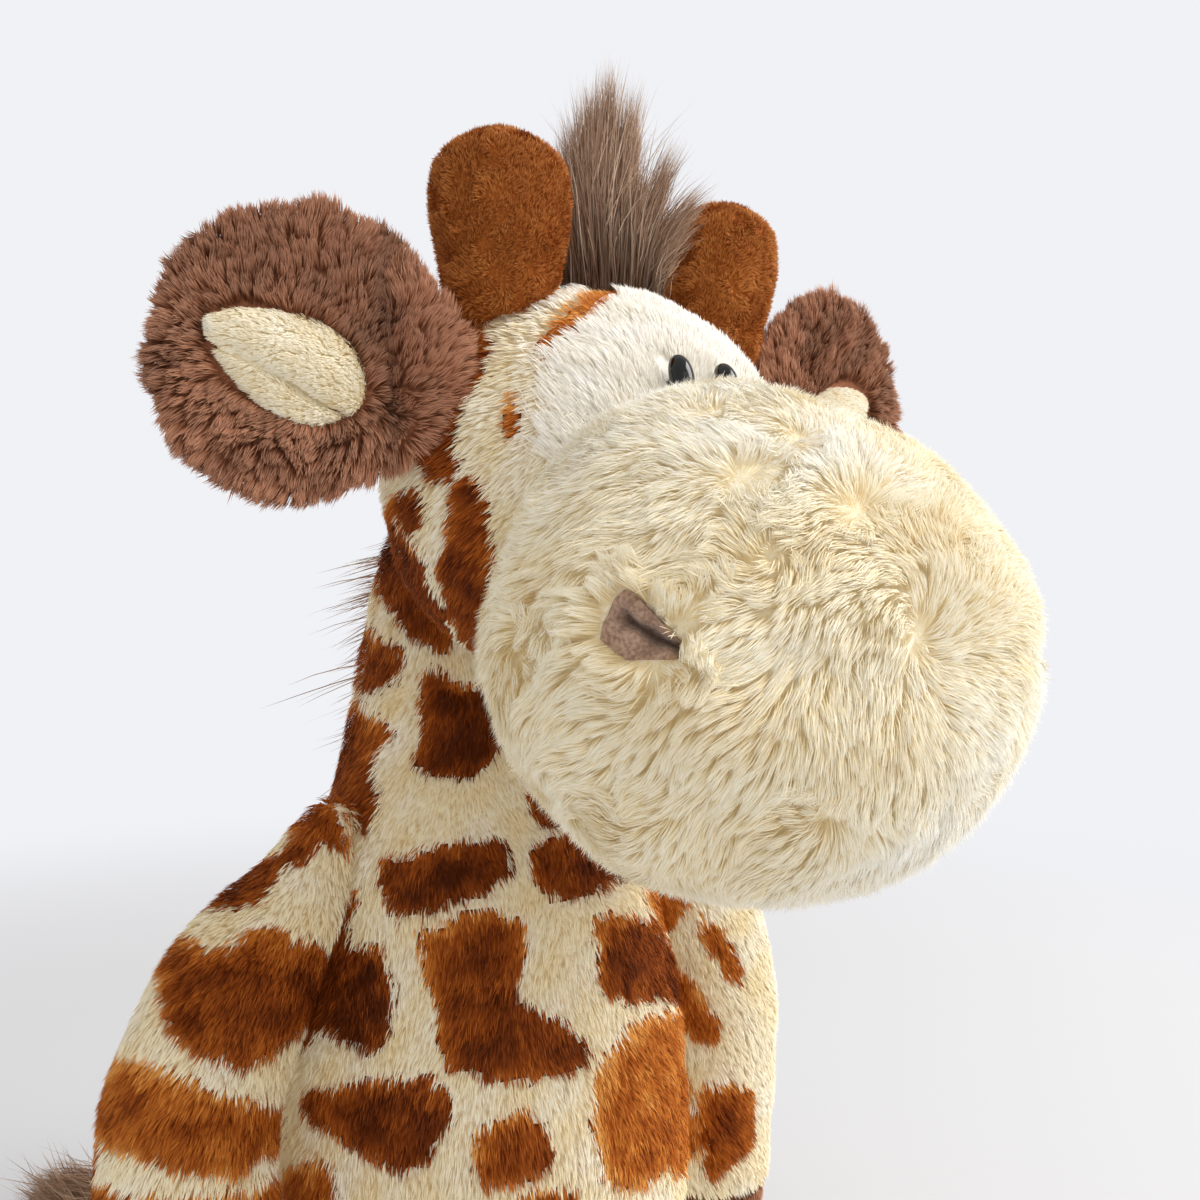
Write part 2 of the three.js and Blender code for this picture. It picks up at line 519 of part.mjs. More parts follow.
// Arms: a tapered tube from each shoulder, cut where it would press on the body as it swings, and
// a hoof-like hand below. Rows are shares of the reach to the side, of the drop and of the girth.
const armRowShares = [
  [0, 0.123, 0.5], [0.2, -0.015, 0.7], [0.6, -0.188, 0.93], [0.94, -0.384, 1.02], [1, -0.608, 1.04],
  [0.98, -0.793, 1.08], [0.92, -1, 1.02],
];
const armTurns = turnsOver(-ARM_SWING_BACK_DEG, ARM_SWING_FORWARD_DEG, ARM_CUTS);
const armSides = [["right", -1, ARM_REACH_RIGHT, 0], ["left", 1, ARM_REACH_LEFT, ARM_SET_BACK_LEFT_DEG]];
for (const [side, sign, armReach, setBack] of armSides) {
  const tilt = radians(SHOULDER_TILT_DEG);
  const shoulder = placeGroup(toy, sign * SHOULDER_X, SHOULDER_Y, SHOULDER_Z, 0, sign * tilt);
  const arm = placeGroup(shoulder, 0, 0, 0, radians(setBack), -sign * tilt);
  const drop = SHOULDER_Z - ARM_FLOOR_GAP;
  const spine = armRowShares.map(([reachShare, dropShare]) => new THREE.Vector3(
    sign * armReach * reachShare, 0, drop * dropShare));
  const girths = armRowShares.map(([, , girthShare]) => ARM_HALF_WIDTH * girthShare);
  let sleeve = solidOf(tubeForm(spine, girths, girths, X_AXIS, LIMB_SIDES, ARM_STEPS), arm.matrixWorld);
  for (const turn of armTurns) sleeve = sleeve.subtract(swungBack(bodyClear, shoulder, X_AXIS, turn));
  const wrist = arm.matrixWorld.clone().multiply(moved(0, 0, HAND_LENGTH - drop));
  const cuff = wrist.clone().multiply(moved(0, 0, -SEAM_GAP));
  addPiece(arm, `arm_${side}`, sleeve.intersect(halfSpace(wrist, BODY_HEIGHT, 1)), CREAM_PLUSH);
  addPiece(arm, `hand_${side}`, sleeve.intersect(halfSpace(cuff, BODY_HEIGHT, -1)), BROWN_PLUSH);
}

// Legs: each lies forward on the floor, its hip end shaped to the body over its whole swing. The
// foot is the hoof-like end of the same tube, with a felt sole on its flat front.
const legRowShares = [[-0.16, 0.8], [0.1, 0.95], [0.35, 1], [0.6, 0.97], [0.8, 1.04], [1, 1.1]];
const legTurns = [-LEG_SWING_IN_DEG, 0, LEG_SWING_OUT_DEG];
for (const [side, sign] of [["right", -1], ["left", 1]]) {
  const hip = placeGroup(toy, sign * HIP_X, HIP_Y, 0, 0, 0, radians(sign * LEG_SPREAD_DEG));
  const spine = legRowShares.map(([reachShare, girthShare]) => new THREE.Vector3(
    0, -LEG_LENGTH * reachShare, LEG_FLOOR_GAP + LEG_RADIUS * girthShare));
  const girths = legRowShares.map(([, girthShare]) => LEG_RADIUS * girthShare);
  let leg = solidOf(tubeForm(spine, girths, girths, X_AXIS, LIMB_SIDES, LEG_STEPS), hip.matrixWorld);
  for (const turn of legTurns) leg = leg.subtract(swungBack(seatClear, hip, Z_AXIS, -sign * turn));
  const faceAt = (distance) => hip.matrixWorld.clone()
    .multiply(moved(0, -distance, 0)).multiply(new THREE.Matrix4().makeRotationX(Math.PI / 2));
  const ankle = LEG_LENGTH - FOOT_LENGTH;
  const toe = LEG_LENGTH - TOE_ROUND;
  const shank = leg.intersect(halfSpace(faceAt(ankle), BODY_HEIGHT, -1));
  const foot = leg.intersect(halfSpace(faceAt(ankle + SEAM_GAP), BODY_HEIGHT, 1))
    .intersect(halfSpace(faceAt(toe), BODY_HEIGHT, -1));
  const solePlace = hip.matrixWorld.clone()
    .multiply(moved(0, -toe - SEAM_GAP - SOLE_THICKNESS / 2, LEG_FLOOR_GAP + LEG_RADIUS));
  addPiece(hip, `leg_${side}`, shank, CREAM_PLUSH);
  addPiece(hip, `foot_${side}`, foot, BROWN_PLUSH);
  addPiece(hip, `sole_${side}`,
    solidOf(cylinderForm(SOLE_RADIUS, SOLE_THICKNESS, LIMB_SIDES), solePlace), TAUPE_FELT);
}

// Tail: it leaves the back near the seat, turns to the giraffe's right on the floor, and ends in a
// tuft whose root is hollowed to the tail's end. Rows are shares of the reach in X and Y and of
// the root's height above the floor.
const tailPivot = placeGroup(toy, 0, TAIL_ROOT_Y, 0);
const tailRowShares = [
  [0, -0.14, 1], [-0.05, 0.25, 0.7], [-0.2, 0.7, 0.2], [-0.5, 0.97, 0], [-0.8, 1, 0], [-1, 0.97, 0.1],
];
const tailLow = TAIL_FLOOR_GAP + TAIL_RADIUS;
const tailSpine = tailRowShares.map(([xShare, yShare, riseShare]) => new THREE.Vector3(
  TAIL_REACH_X * xShare, TAIL_REACH_Y * yShare, tailLow + (TAIL_ROOT_Z - tailLow) * riseShare));
const tailGirths = tailRowShares.map(() => TAIL_RADIUS);
const tailTube = (grow) => solidOf(
  tubeForm(tailSpine, tailGirths, tailGirths, Z_AXIS, SMALL_SIDES, TAIL_STEPS, grow), tailPivot.matrixWorld);
let tail = tailTube(0);
for (const turn of [-TAIL_SWING_DEG, 0, TAIL_SWING_DEG]) {
  tail = tail.subtract(swungBack(bodyClear, tailPivot, Z_AXIS, turn));
}
addPiece(tailPivot, "tail", tail, CREAM_PLUSH);
const brushRowShares = [[0, 0.5, 0], [0.24, 0.9, 0.08], [0.48, 1, 0.3], [0.68, 0.7, 0.5], [0.8, 0.3, 0.65]];
const brushStart = tailSpine.at(-2);
const brushSpine = brushRowShares.map(([alongShare, , riseShare]) => new THREE.Vector3(
  brushStart.x - TAIL_TUFT_LENGTH * alongShare, brushStart.y,
  TAIL_TUFT_RADIUS + TAIL_FLOOR_GAP + TAIL_TUFT_LENGTH * riseShare));
const brushGirths = brushRowShares.map(([, girthShare]) => TAIL_TUFT_RADIUS * girthShare);
const brush = tubeForm(brushSpine, brushGirths, brushGirths, Y_AXIS, SMALL_SIDES, TUFT_STEPS);
addPiece(tailPivot, "tail_tuft", solidOf(brush, tailPivot.matrixWorld).subtract(tailTube(SEAM_GAP)), HAIR);

export default toy;
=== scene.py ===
import bpy
import numpy as np
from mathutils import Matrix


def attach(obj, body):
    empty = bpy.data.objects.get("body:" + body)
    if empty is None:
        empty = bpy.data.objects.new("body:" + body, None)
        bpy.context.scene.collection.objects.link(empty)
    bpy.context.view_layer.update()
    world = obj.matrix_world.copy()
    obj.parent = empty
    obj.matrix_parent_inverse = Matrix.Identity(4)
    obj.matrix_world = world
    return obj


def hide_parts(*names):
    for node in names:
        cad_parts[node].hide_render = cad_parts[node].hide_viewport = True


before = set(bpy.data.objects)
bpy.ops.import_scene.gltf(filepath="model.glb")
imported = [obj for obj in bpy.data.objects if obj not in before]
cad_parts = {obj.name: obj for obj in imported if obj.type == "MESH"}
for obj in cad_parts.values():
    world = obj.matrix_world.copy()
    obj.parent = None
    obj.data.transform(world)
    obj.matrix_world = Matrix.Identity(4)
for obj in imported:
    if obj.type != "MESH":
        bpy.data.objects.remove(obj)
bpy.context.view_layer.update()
scene = bpy.context.scene
scene.view_settings.view_transform = "Standard"


# Camera: level with the muzzle, in front of the toy and to its right. It stands about 25 cm from
# the muzzle, so what is near looks large.
MM = 0.001
CAMERA_PLACE = np.array([-138.0, -302.0, 205.0])
CAMERA_TURN = np.radians(30)
FOCAL_SHARE = 1.0
PHOTO_WIDTH = 1200
AHEAD = np.array([np.sin(CAMERA_TURN), np.cos(CAMERA_TURN), 0])
RIGHTWARDS = np.array([np.cos(CAMERA_TURN), -np.sin(CAMERA_TURN), 0])
camera = bpy.data.objects.new("camera", bpy.data.cameras.new("camera"))
camera.data.sensor_width = 36
camera.data.lens = camera.data.sensor_width * FOCAL_SHARE
camera.data.clip_start = 0.01
camera.location = CAMERA_PLACE * MM
camera.rotation_euler = (np.pi / 2, 0, -CAMERA_TURN)
scene.collection.objects.link(camera)
scene.camera = camera


# Studio: a pale floor that fades into the backdrop's colour, a pale sky all round, a large soft
# lamp from the upper right in front and a weak one from the front. The floor keeps the shadow.
class Socket:
    """An output of a material's nodes. Sums of numbers and sockets add the Math nodes they need."""

    def __init__(self, tree, output=None):
        self.tree, self.output = tree, output

    def node(self, kind, settings=None, inputs=None, output=0):
        """Adds any node: its settings first, a ramp's stops among them, and then its sockets."""
        made = self.tree.nodes.new("ShaderNode" + kind)
        for key, value in (settings or {}).items():
            if key == "stops":
                ramp = made.color_ramp
                while len(ramp.elements) < len(value):
                    ramp.elements.new(1)
                for stop, (place, colour) in zip(ramp.elements, value):
                    stop.position, stop.color = place, colour
            else:
                setattr(made, key, value)
        for key, value in (inputs or {}).items():
            self.feed(made.inputs[key], value)
        return Socket(self.tree, made.outputs[output] if made.outputs else None)

    def feed(self, socket, value):
        if isinstance(value, Socket):
            self.tree.links.new(value.output, socket)
        else:
            socket.default_value = value

    def math(self, operation, *values):
        return self.node("Math", {"operation": operation}, dict(enumerate(values)))

    def __add__(self, other):
        return self.math("ADD", self, other)

    def __mul__(self, other):
        return self.math("MULTIPLY", self, other)

    __radd__, __rmul__ = __add__, __mul__

    def over(self, low, high, to_low=0.0, to_high=1.0):
        """The value's smooth way from one level to another, as a share between two shares."""
        return self.node("MapRange", {"interpolation_type": "SMOOTHSTEP"}, {
            "Value": self, "From Min": low, "From Max": high, "To Min": to_low, "To Max": to_high})

    def blend(self, first, second):
        """One colour at 0 and another at 1 of this value."""
        return self.node("Mix", {"data_type": "RGBA"}, {0: self, 6: first, 7: second}, 2)


def paint(red, green, blue):
    """A colour as it looks on a screen, turned into the light that a shader works with."""
    seen = np.array([red, green, blue], float)
    light = np.where(seen <= 0.04045, seen / 12.92, ((seen + 0.055) / 1.055) ** 2.4)
    return (*light.tolist(), 1.0)


def blank(block):
    """The nodes of a world or a material, emptied."""
    block.use_nodes = True
    block.node_tree.nodes.clear()
    return Socket(block.node_tree)


def seen_by(nodes, *kinds):
    """1 for rays of the named kinds, and 0 for all others: the largest of the kinds' own shares."""
    rays = nodes.node("LightPath").output.node
    seen = 0.0
    for kind in kinds:
        seen = nodes.math("MAXIMUM", seen, Socket(nodes.tree, rays.outputs[f"Is {kind} Ray"]))
    return seen


BACKDROP = paint(0.945, 0.948, 0.962)
SKY_STRENGTH = 0.59
world = bpy.data.worlds.new("studio")
scene.world = world
sky = blank(world)
plain = sky.node("Background", None, {"Color": (1.0, 0.985, 0.965, 1.0), "Strength": SKY_STRENGTH})
shown = sky.node("Background", None, {"Color": BACKDROP, "Strength": 1.0})
sky.node("OutputWorld", None, {"Surface": sky.node("MixShader", None, {
    0: seen_by(sky, "Camera", "Transmission"), 1: plain, 2: shown})})

FLOOR_REACH = 6.0
FLOOR_NEAR, FLOOR_FAR = 0.3, 0.9
floor_corners = FLOOR_REACH * np.array([[-1, -1, 0], [1, -1, 0], [1, 1, 0], [-1, 1, 0]])
floor_mesh = bpy.data.meshes.new("floor")
floor_mesh.from_pydata(floor_corners.tolist(), [], [(0, 1, 2, 3)])
floor = bpy.data.objects.new("floor", floor_mesh)
scene.collection.objects.link(floor)
floor_finish = bpy.data.materials.new("pale_floor")
ground = blank(floor_finish)
away = ground.node("VectorMath", {"operation": "LENGTH"}, {0: ground.node("TexCoord", output=3)}, 1)
far = away.over(FLOOR_NEAR, FLOOR_FAR) * seen_by(ground, "Camera", "Glossy", "Transmission")
paper = ground.node("BsdfDiffuse", None, {"Color": paint(0.87, 0.875, 0.89)})
glow = ground.node("Emission", None, {"Color": BACKDROP, "Strength": 1.0})
ground.node("OutputMaterial", None, {"Surface": ground.node("MixShader", None, {0: far, 1: paper, 2: glow})})
floor_mesh.materials.append(floor_finish)

LAMP_AIM = np.array([0.0, -0.05, 0.15])
LAMPS = [("key_lamp", (1.15, -0.85, 1.45), 1.2, 31.5), ("front_lamp", (-0.1, -1.5, 0.9), 1.2, 2.8)]
for name, where, size, power in LAMPS:
    lamp = bpy.data.lights.new(name, "AREA")
    lamp.size, lamp.energy, lamp.color = size, power, (1.0, 0.975, 0.94)
    lamp_object = bpy.data.objects.new(name, lamp)
    lamp_object.location = where
    aim = LAMP_AIM - np.array(where)
    lamp_object.rotation_euler = (np.arccos(-aim[2] / np.linalg.norm(aim)), 0, np.arctan2(-aim[0], aim[1]))
    scene.collection.objects.link(lamp_object)


# Body: the stuffed skin that sits on the floor and narrows into the neck. It is sewn from spotted
# plush, cream with rust patches, whose short pile lies downwards.
def unit(vectors):
    """Each vector over its own length."""
    return vectors / np.maximum(np.linalg.norm(vectors, axis=-1, keepdims=True), 1e-9)


def ripple(points, wavelength, seed, waves=7):
    """Smooth uneven values between about -1 and 1: plane waves of random direction, added up."""
    draw = np.random.default_rng(seed)
    ways = unit(draw.normal(size=(waves, 3))) * draw.uniform(0.6, 1.5, (waves, 1)) * 2 * np.pi / wavelength
    phases = draw.uniform(0, 2 * np.pi, waves)
    return np.sin(points @ ways.T + phases).sum(-1) / waves ** 0.5


def ripples(points, wavelength, seed):
    """Three ripples side by side: a way that wanders from point to point."""
    return np.stack([ripple(points, wavelength, seed + axis) for axis in range(3)], axis=-1)


def between(want, places, table):
    """Rows of a table at wanted places between its own: each column in straight lines."""
    return np.stack([np.interp(want, places, column) for column in table.T], axis=1)


def spline(knots, count):
    """A Catmull-Rom curve through the knots, a cubic for each span with slopes from the two
    neighbours, and then even samples along its length. Further columns ride along."""
    knots = np.asarray(knots, float)
    ends = np.vstack([2 * knots[0] - knots[1], knots, 2 * knots[-1] - knots[-2]])
    t = np.linspace(0, 1, 24, endpoint=False)[:, None, None]
    before, start, end, after = ends[:-3], ends[1:-2], ends[2:-1], ends[3:]
    spans = 0.5 * (2 * start + (end - before) * t + (2 * before - 5 * start + 4 * end - after) * t ** 2
                   + (3 * start - before - 3 * end + after) * t ** 3)
    points = np.vstack([spans.transpose(1, 0, 2).reshape(-1, knots.shape[1]), knots[-1:]])
    along = np.append(0, np.cumsum(np.linalg.norm(np.diff(points[:, :3], axis=0), axis=1)))
    return between(np.linspace(0, along[-1], count), along, points)


def ring_normals(grid):
    """Normals of rings of points: the way along the form crossed with the way round it, outwards."""
    along = np.gradient(grid, axis=0)
    around = np.roll(grid, -1, axis=1) - np.roll(grid, 1, axis=1)
    normals = unit(np.cross(around, along))
    outward = ((grid - grid.mean(axis=1, keepdims=True)) * normals).sum(-1).mean()
    return normals * np.sign(outward)


def pressed(points, core, inside):
    """Where a soft form meets another, its points give way: each slides towards the core, by
    halving steps, until it is no longer inside the other form."""
    low, high = np.zeros(points.shape[:-1] + (1,)), np.ones(points.shape[:-1] + (1,))
    touches = inside(points)[..., None]
    for _ in range(18):
        middle = (low + high) / 2
        deep = inside(core + (points - core) * middle)[..., None]
        low, high = np.where(deep, low, middle), np.where(deep, middle, high)
    return np.where(touches, core + (points - core) * low, points)


def closed_mesh(name, grid):
    """Rings of points, each joined to the next, and closed on the middle of the two end rings. The
    UV map runs round the rings and along them. Faces are turned outwards by the volume's sign."""
    rings, sides = grid.shape[:2]
    points = np.vstack([grid.reshape(-1, 3), grid[0].mean(0), grid[-1].mean(0)])
    ring, side = np.meshgrid(np.arange(rings - 1), np.arange(sides), indexing="ij")
    ring, side = ring.ravel(), side.ravel()
    after = (side + 1) % sides
    quads = np.stack([ring * sides + side, ring * sides + after, (ring + 1) * sides + after,
                      (ring + 1) * sides + side], axis=1)
    rim = np.arange(sides)
    turn = (rim + 1) % sides
    last = (rings - 1) * sides
    fans = np.vstack([np.stack([turn, rim, np.full(sides, rings * sides)], axis=1),
                      np.stack([last + rim, last + turn, np.full(sides, rings * sides + 1)], axis=1)])
    step = 1 / (rings + 1)
    quad_uv = np.stack([
        np.stack([side, side + 1, side + 1, side], axis=1) / sides,
        (np.stack([ring, ring, ring + 1, ring + 1], axis=1) + 1) * step], axis=-1)
    fan_u = np.stack([rim + 1, rim, rim + 0.5], axis=1) / sides
    fan_v = np.array([[step, step, 0.0], [1 - step, 1 - step, 1.0]])
    fan_uv = np.vstack([np.stack([fan_u, np.tile(fan_v[0], (sides, 1))], axis=-1),
                        np.stack([fan_u[:, [1, 0, 2]], np.tile(fan_v[1], (sides, 1))], axis=-1)])
    corners = np.concatenate([quads.ravel(), fans.ravel()])
    uv = np.vstack([quad_uv.reshape(-1, 2), fan_uv.reshape(-1, 2)])
    sizes = np.concatenate([np.full(len(quads), 4), np.full(len(fans), 3)])
    first, second, third = points[quads[:, 0]], points[quads[:, 1]], points[quads[:, 2]]
    if (first * np.cross(second, third)).sum() < 0:
        corners, uv = corners[::-1], uv[::-1]
        sizes = sizes[::-1]
    return raw_mesh(name, points, corners, sizes, uv)


def raw_mesh(name, points, corners, sizes, uv):
    """A mesh in metres from points in millimetres, the corners of its faces and a UV for each."""
    mesh = bpy.data.meshes.new(name)
    mesh.vertices.add(len(points))
    mesh.vertices.foreach_set("co", (points * MM).astype(np.float32).ravel())
    mesh.loops.add(len(corners))
    mesh.loops.foreach_set("vertex_index", corners.astype(np.int32))
    mesh.polygons.add(len(sizes))
    starts = np.concatenate([[0], np.cumsum(sizes)[:-1]])
    mesh.polygons.foreach_set("loop_start", starts.astype(np.int32))
    mesh.polygons.foreach_set("use_smooth", np.ones(len(sizes), bool))
    mesh.update(calc_edges=True)
    mesh.uv_layers.new(name="OFBake").data.foreach_set("uv", uv.astype(np.float32).ravel())
    mesh.validate()
    return mesh


def add_piece(mesh, finish, body, nodes=()):
    """Puts a finished mesh in the scene: it rides on its body and stands for its CAD nodes."""
    piece = bpy.data.objects.new(mesh.name, mesh)
    scene.collection.objects.link(piece)
    mesh.materials.append(finish)
    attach(piece, body)
    if nodes:
        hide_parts(*nodes)
    return piece


def point_values(mesh, name, values):
    """Stores a number for every point of a mesh, for its finish to read."""
    mesh.attributes.new(name, "FLOAT", "POINT").data.foreach_set("value", values.astype(np.float32))


def skin(node, grid, shade, kind, body, nodes=None):
    """The stuffed skin under a node's pile, with its patches' shade on every point."""
    finish, _, slot = kind
    mesh = closed_mesh(f"{node}_plush", grid)
    shade = np.broadcast_to(shade, grid.shape[:2])
    point_values(mesh, "shade", np.append(shade.ravel(), [shade[0, 0], shade[-1, -1]]))
    add_piece(mesh, finish, body, nodes or [node])


def roots(grid, normals, count, draw):
    """Places of hairs on rings of points: patches drawn by area, and a random place in each."""
    corners, bends = (
        [form[:-1], form[1:], np.roll(form, -1, axis=1)[:-1], np.roll(form, -1, axis=1)[1:]]
        for form in (grid, normals))
    area = (np.linalg.norm(np.cross(corners[1] - corners[0], corners[2] - corners[0]), axis=-1)
            + np.linalg.norm(np.cross(corners[1] - corners[3], corners[2] - corners[3]), axis=-1)).ravel()
    pick = draw.choice(area.size, count, p=area / area.sum())
    u, v = draw.random((2, count, 1))
    shares = (1 - u) * (1 - v), u * (1 - v), (1 - u) * v, u * v
    mix = [sum(share * part.reshape(-1, 3)[pick] for share, part in zip(shares, parts))
           for parts in (corners, bends)]
    return mix[0], unit(mix[1])


HAIR_BOW = 0.1
LOCK_SEED = 900


def pile(name, points, normals, comb, length, lift, width, shade, kind, body, draw,
         lock=2.6, pull=0.4, stray=0.1):
    """Hairs as kites of two triangles: a root, two sides at the middle and a tip. A tip stands off
    its root by the length, along the comb's way tilted up by the lift; tips lean to the mean tip of
    their lock, a cell of a wavy lattice; the middle bows outwards. The UV map holds the shade
    across and the way along."""
    count = len(points)
    flat = unit(comb - (comb * normals).sum(-1, keepdims=True) * normals)
    length, lift, pull = (np.broadcast_to(value, count)[:, None] for value in (length, lift, pull))
    way = unit(np.cos(lift) * flat + np.sin(lift) * normals + draw.normal(size=(count, 3)) * stray)
    tips = points + way * length * draw.uniform(0.7, 1.12, (count, 1))
    wavy = points + ripples(points, lock * 3, LOCK_SEED) * lock * 0.6
    _, cell = np.unique(np.floor(wavy / lock).astype(int), axis=0, return_inverse=True)
    cell = cell.ravel()
    held = np.maximum(np.bincount(cell), 1)
    middle = np.stack([np.bincount(cell, tips[:, axis]) / held for axis in range(3)], axis=-1)
    tips = tips + (middle[cell] - tips) * pull
    middle = points + (tips - points) * 0.5 + normals * length * HAIR_BOW
    around = unit(np.cross(tips - points, normals))
    lean = draw.uniform(-0.6, 0.6, (count, 1))
    side = (around * np.cos(lean) + np.cross(unit(tips - points), around) * np.sin(lean)) * width / 2
    side = side * draw.uniform(0.75, 1.25, (count, 1))
    kites = np.stack([points - normals * 0.4, middle - side, middle + side, tips], axis=1)
    kites[..., 2] = np.maximum(kites[..., 2], 0.25)
    corners = np.arange(count)[:, None] * 4 + np.array([0, 2, 1, 1, 2, 3])
    wide = 0.0012
    across = np.clip(shade, 0.004, 0.996)[:, None] + np.array([wide, wide, -wide, -wide, wide, 0])
    along = np.broadcast_to(np.array([0, 0.5, 0.5, 0.5, 0.5, 1]), across.shape)
    mesh = raw_mesh(name, kites.reshape(-1, 3), corners.ravel(), np.full(count * 2, 3),
                    np.stack([across, along], axis=-1).reshape(-1, 2))
    add_piece(mesh, kind[1], body)


def uneven(points, level, waves, spread, draw):
    """A shade for each hair: the level, ripples of given height, wavelength and seed, and a random
    part."""
    for height, wavelength, seed in waves:
        level = level + height * ripple(points, wavelength, seed)
    return np.clip(level + draw.normal(size=len(points)) * spread, 0, 1)


def principled(name, constants):
    """A new material, the sockets of its shader with the constants set, and its nodes."""
    material = bpy.data.materials.new(name)
    material.use_nodes = True
    surface = material.node_tree.nodes["Principled BSDF"].inputs
    for key, value in constants.items():
        surface[key].default_value = value
    return material, surface, Socket(material.node_tree)


def noise(nodes, scale, detail=2.0):
    """Noise that stays where it is on the piece."""
    place = nodes.node("TexCoord", output=3)
    return nodes.node("TexNoise", None, {"Vector": place, "Scale": scale, "Detail": detail})


WHITE = (1.0, 1.0, 1.0, 1.0)


def plush(name, stops, root, tip=None, tip_share=0.6, glow=0.06, roughness=0.7, specular=0.12):
    """A kind of plush, as two finishes and its name: the skin's, which reads the patches' shade from
    its points, and the pile's, which reads it from the UV map. Both are multiplied by the root
    colour as painted shade: the skin under the pile through a noise, and each hair near its root.
    A faint glow in the same colour stands for light that passes through the hairs."""
    finishes = []
    for part in ("skin", "pile"):
        material, surface, nodes = principled(f"{name}_{part}", {
            "Roughness": roughness, "Specular IOR Level": specular, "Emission Strength": glow})
        if part == "skin":
            shade = nodes.node("Attribute", {"attribute_name": "shade"}, output=2)
            colour = nodes.node("ValToRGB", {"stops": stops}, {0: shade})
            # The skin is painted darker towards the root colour through a noise: painted shade under the
            # pile.
            weave = noise(nodes, 900.0)
            tint = weave.over(0.3, 0.7, 0.6, 1.0).blend(root, WHITE)
            nodes.feed(surface["Normal"], nodes.node(
                "Bump", None, {"Strength": 0.5, "Distance": 0.0006, "Height": weave}))
        else:
            place = nodes.node("UVMap", {"uv_map": "OFBake"})
            across, along = (nodes.node("SeparateXYZ", None, {0: place}, axis) for axis in ("X", "Y"))
            colour = nodes.node("ValToRGB", {"stops": stops}, {0: across})
            # Each hair is painted darker towards the root colour near its root: painted shade between the
            # hairs.
            tint = along.over(0.0, 0.8).blend(root, WHITE)
            # The outer part of each hair blends to the tip colour: partly the fibres' lighter tips, partly a
            # painted highlight.
            if tip:
                colour = along.over(0.35, 1.0, 0.0, tip_share).blend(colour, tip)
        shaded = nodes.node("Mix", {"data_type": "RGBA", "blend_type": "MULTIPLY"}, {
            0: 1.0, 6: colour, 7: tint}, 2)
        nodes.feed(surface["Base Color"], shaded)
        nodes.feed(surface["Emission Color"], shaded)
        finishes.append(material)
    return (*finishes, name)


def in_photo(points):
    """Where points are seen by the camera: how far right and down, in the photograph's pixels."""
    gap = points - CAMERA_PLACE
    scale = PHOTO_WIDTH * FOCAL_SHARE / (gap @ AHEAD)
    return PHOTO_WIDTH / 2 + np.stack([(gap @ RIGHTWARDS) * scale, -gap[..., 2] * scale], axis=-1)


def sight(right, down):
    """The way from the camera through places of the photograph, for each millimetre of depth."""
    share = (np.array([right, down]).T - PHOTO_WIDTH / 2) / (PHOTO_WIDTH * FOCAL_SHARE)
    return AHEAD + share[..., :1] * RIGHTWARDS - share[..., 1:] * [0, 0, 1]


def inside_by(places, outline):
    """How far flat places lie inside an outline, below zero outside it: the distance to the nearest
    edge, with the sign from whether a level line from there crosses an odd number of edges."""
    edge = np.roll(outline, -1, axis=0) - outline
    gap = places[:, None] - outline
    share = np.clip((gap * edge).sum(-1) / (edge ** 2).sum(-1), 0, 1)
    distance = np.linalg.norm(gap - share[..., None] * edge, axis=-1).min(axis=1)
    spans = (gap[..., 1] < 0) != (gap[..., 1] < edge[..., 1])
    rise = np.where(edge[:, 1] == 0, 1e-9, edge[:, 1])
    crosses = spans & (gap[..., 0] < edge[:, 0] * gap[..., 1] / rise)
    return np.where(crosses.sum(axis=1) % 2 == 1, distance, -distance)


HIDDEN_TINTS = (0.56, 0.9)


def patches_on(grid, normals, outlines, draw, spacing, sizes):
    """The patches of a spotted piece: each has a middle, the way out there, two ways along the
    surface, an outline in millimetres along them, and a tint. The seen ones are laid on from the
    photograph: each corner's line of sight meets the plane of the surface's nearest point. The
    hidden ones are rounded blocks at random places that keep their distance."""
    places, bends = grid.reshape(-1, 3), normals.reshape(-1, 3)
    seen_at = in_photo(places)
    facing = (unit(CAMERA_PLACE - places) * bends).sum(-1)
    seen = np.flatnonzero(facing > 0.1)
    flat = seen_at[seen]
    patches = []
    for tint, *corners in outlines:
        corners = np.array(corners, float).reshape(-1, 2)
        within = inside_by(flat, corners) > 0
        if within.sum() < 4:
            continue
        nearest = seen[np.linalg.norm(flat - corners[:, None], axis=-1).argmin(axis=1)]
        at, bend, line = places[nearest], bends[nearest], sight(*corners.T)
        reach = ((at - CAMERA_PLACE) * bend).sum(-1, keepdims=True) / (line * bend).sum(-1, keepdims=True)
        shift = CAMERA_PLACE + line * reach - at
        at = at + unit(shift) * np.minimum(np.linalg.norm(shift, axis=-1, keepdims=True), 8)
        middle, out = at.mean(axis=0), unit(bends[seen[within]].mean(axis=0))
        at = at + (at - middle) * np.where(facing[nearest] < 0.3, 0.3, 0)[:, None]
        level = unit(np.cross([0, 0, 1.0], out))
        rise = np.cross(out, level)
        patches.append((middle, out, level, rise, (at - middle) @ np.stack([level, rise], axis=1), tint))
    shown = (facing > 0.15) & (seen_at[:, 1] < PHOTO_WIDTH) & (seen_at[:, 0] > 0)
    angle = np.linspace(0, 2 * np.pi, 12, endpoint=False)
    for at in draw.permutation(len(places))[:4000]:
        if shown[at] or any(np.linalg.norm(patch[0] - places[at]) < spacing for patch in patches):
            continue
        level = unit(np.cross([0.1, 0, 1.0], bends[at]))
        wide, high, turn = *draw.uniform(*sizes, 2), draw.uniform(-0.5, 0.5)
        block = (np.abs(np.cos(angle) / wide) ** 3 + np.abs(np.sin(angle) / high) ** 3) ** (-1 / 3)
        block = block * draw.uniform(0.86, 1.12, 12)
        patches.append((places[at], bends[at], level, np.cross(bends[at], level), block[:, None] * np.stack(
            [np.cos(angle + turn), np.sin(angle + turn)], axis=-1), draw.uniform(*HIDDEN_TINTS)))
    return patches


CREAM_SHADE = 0.24


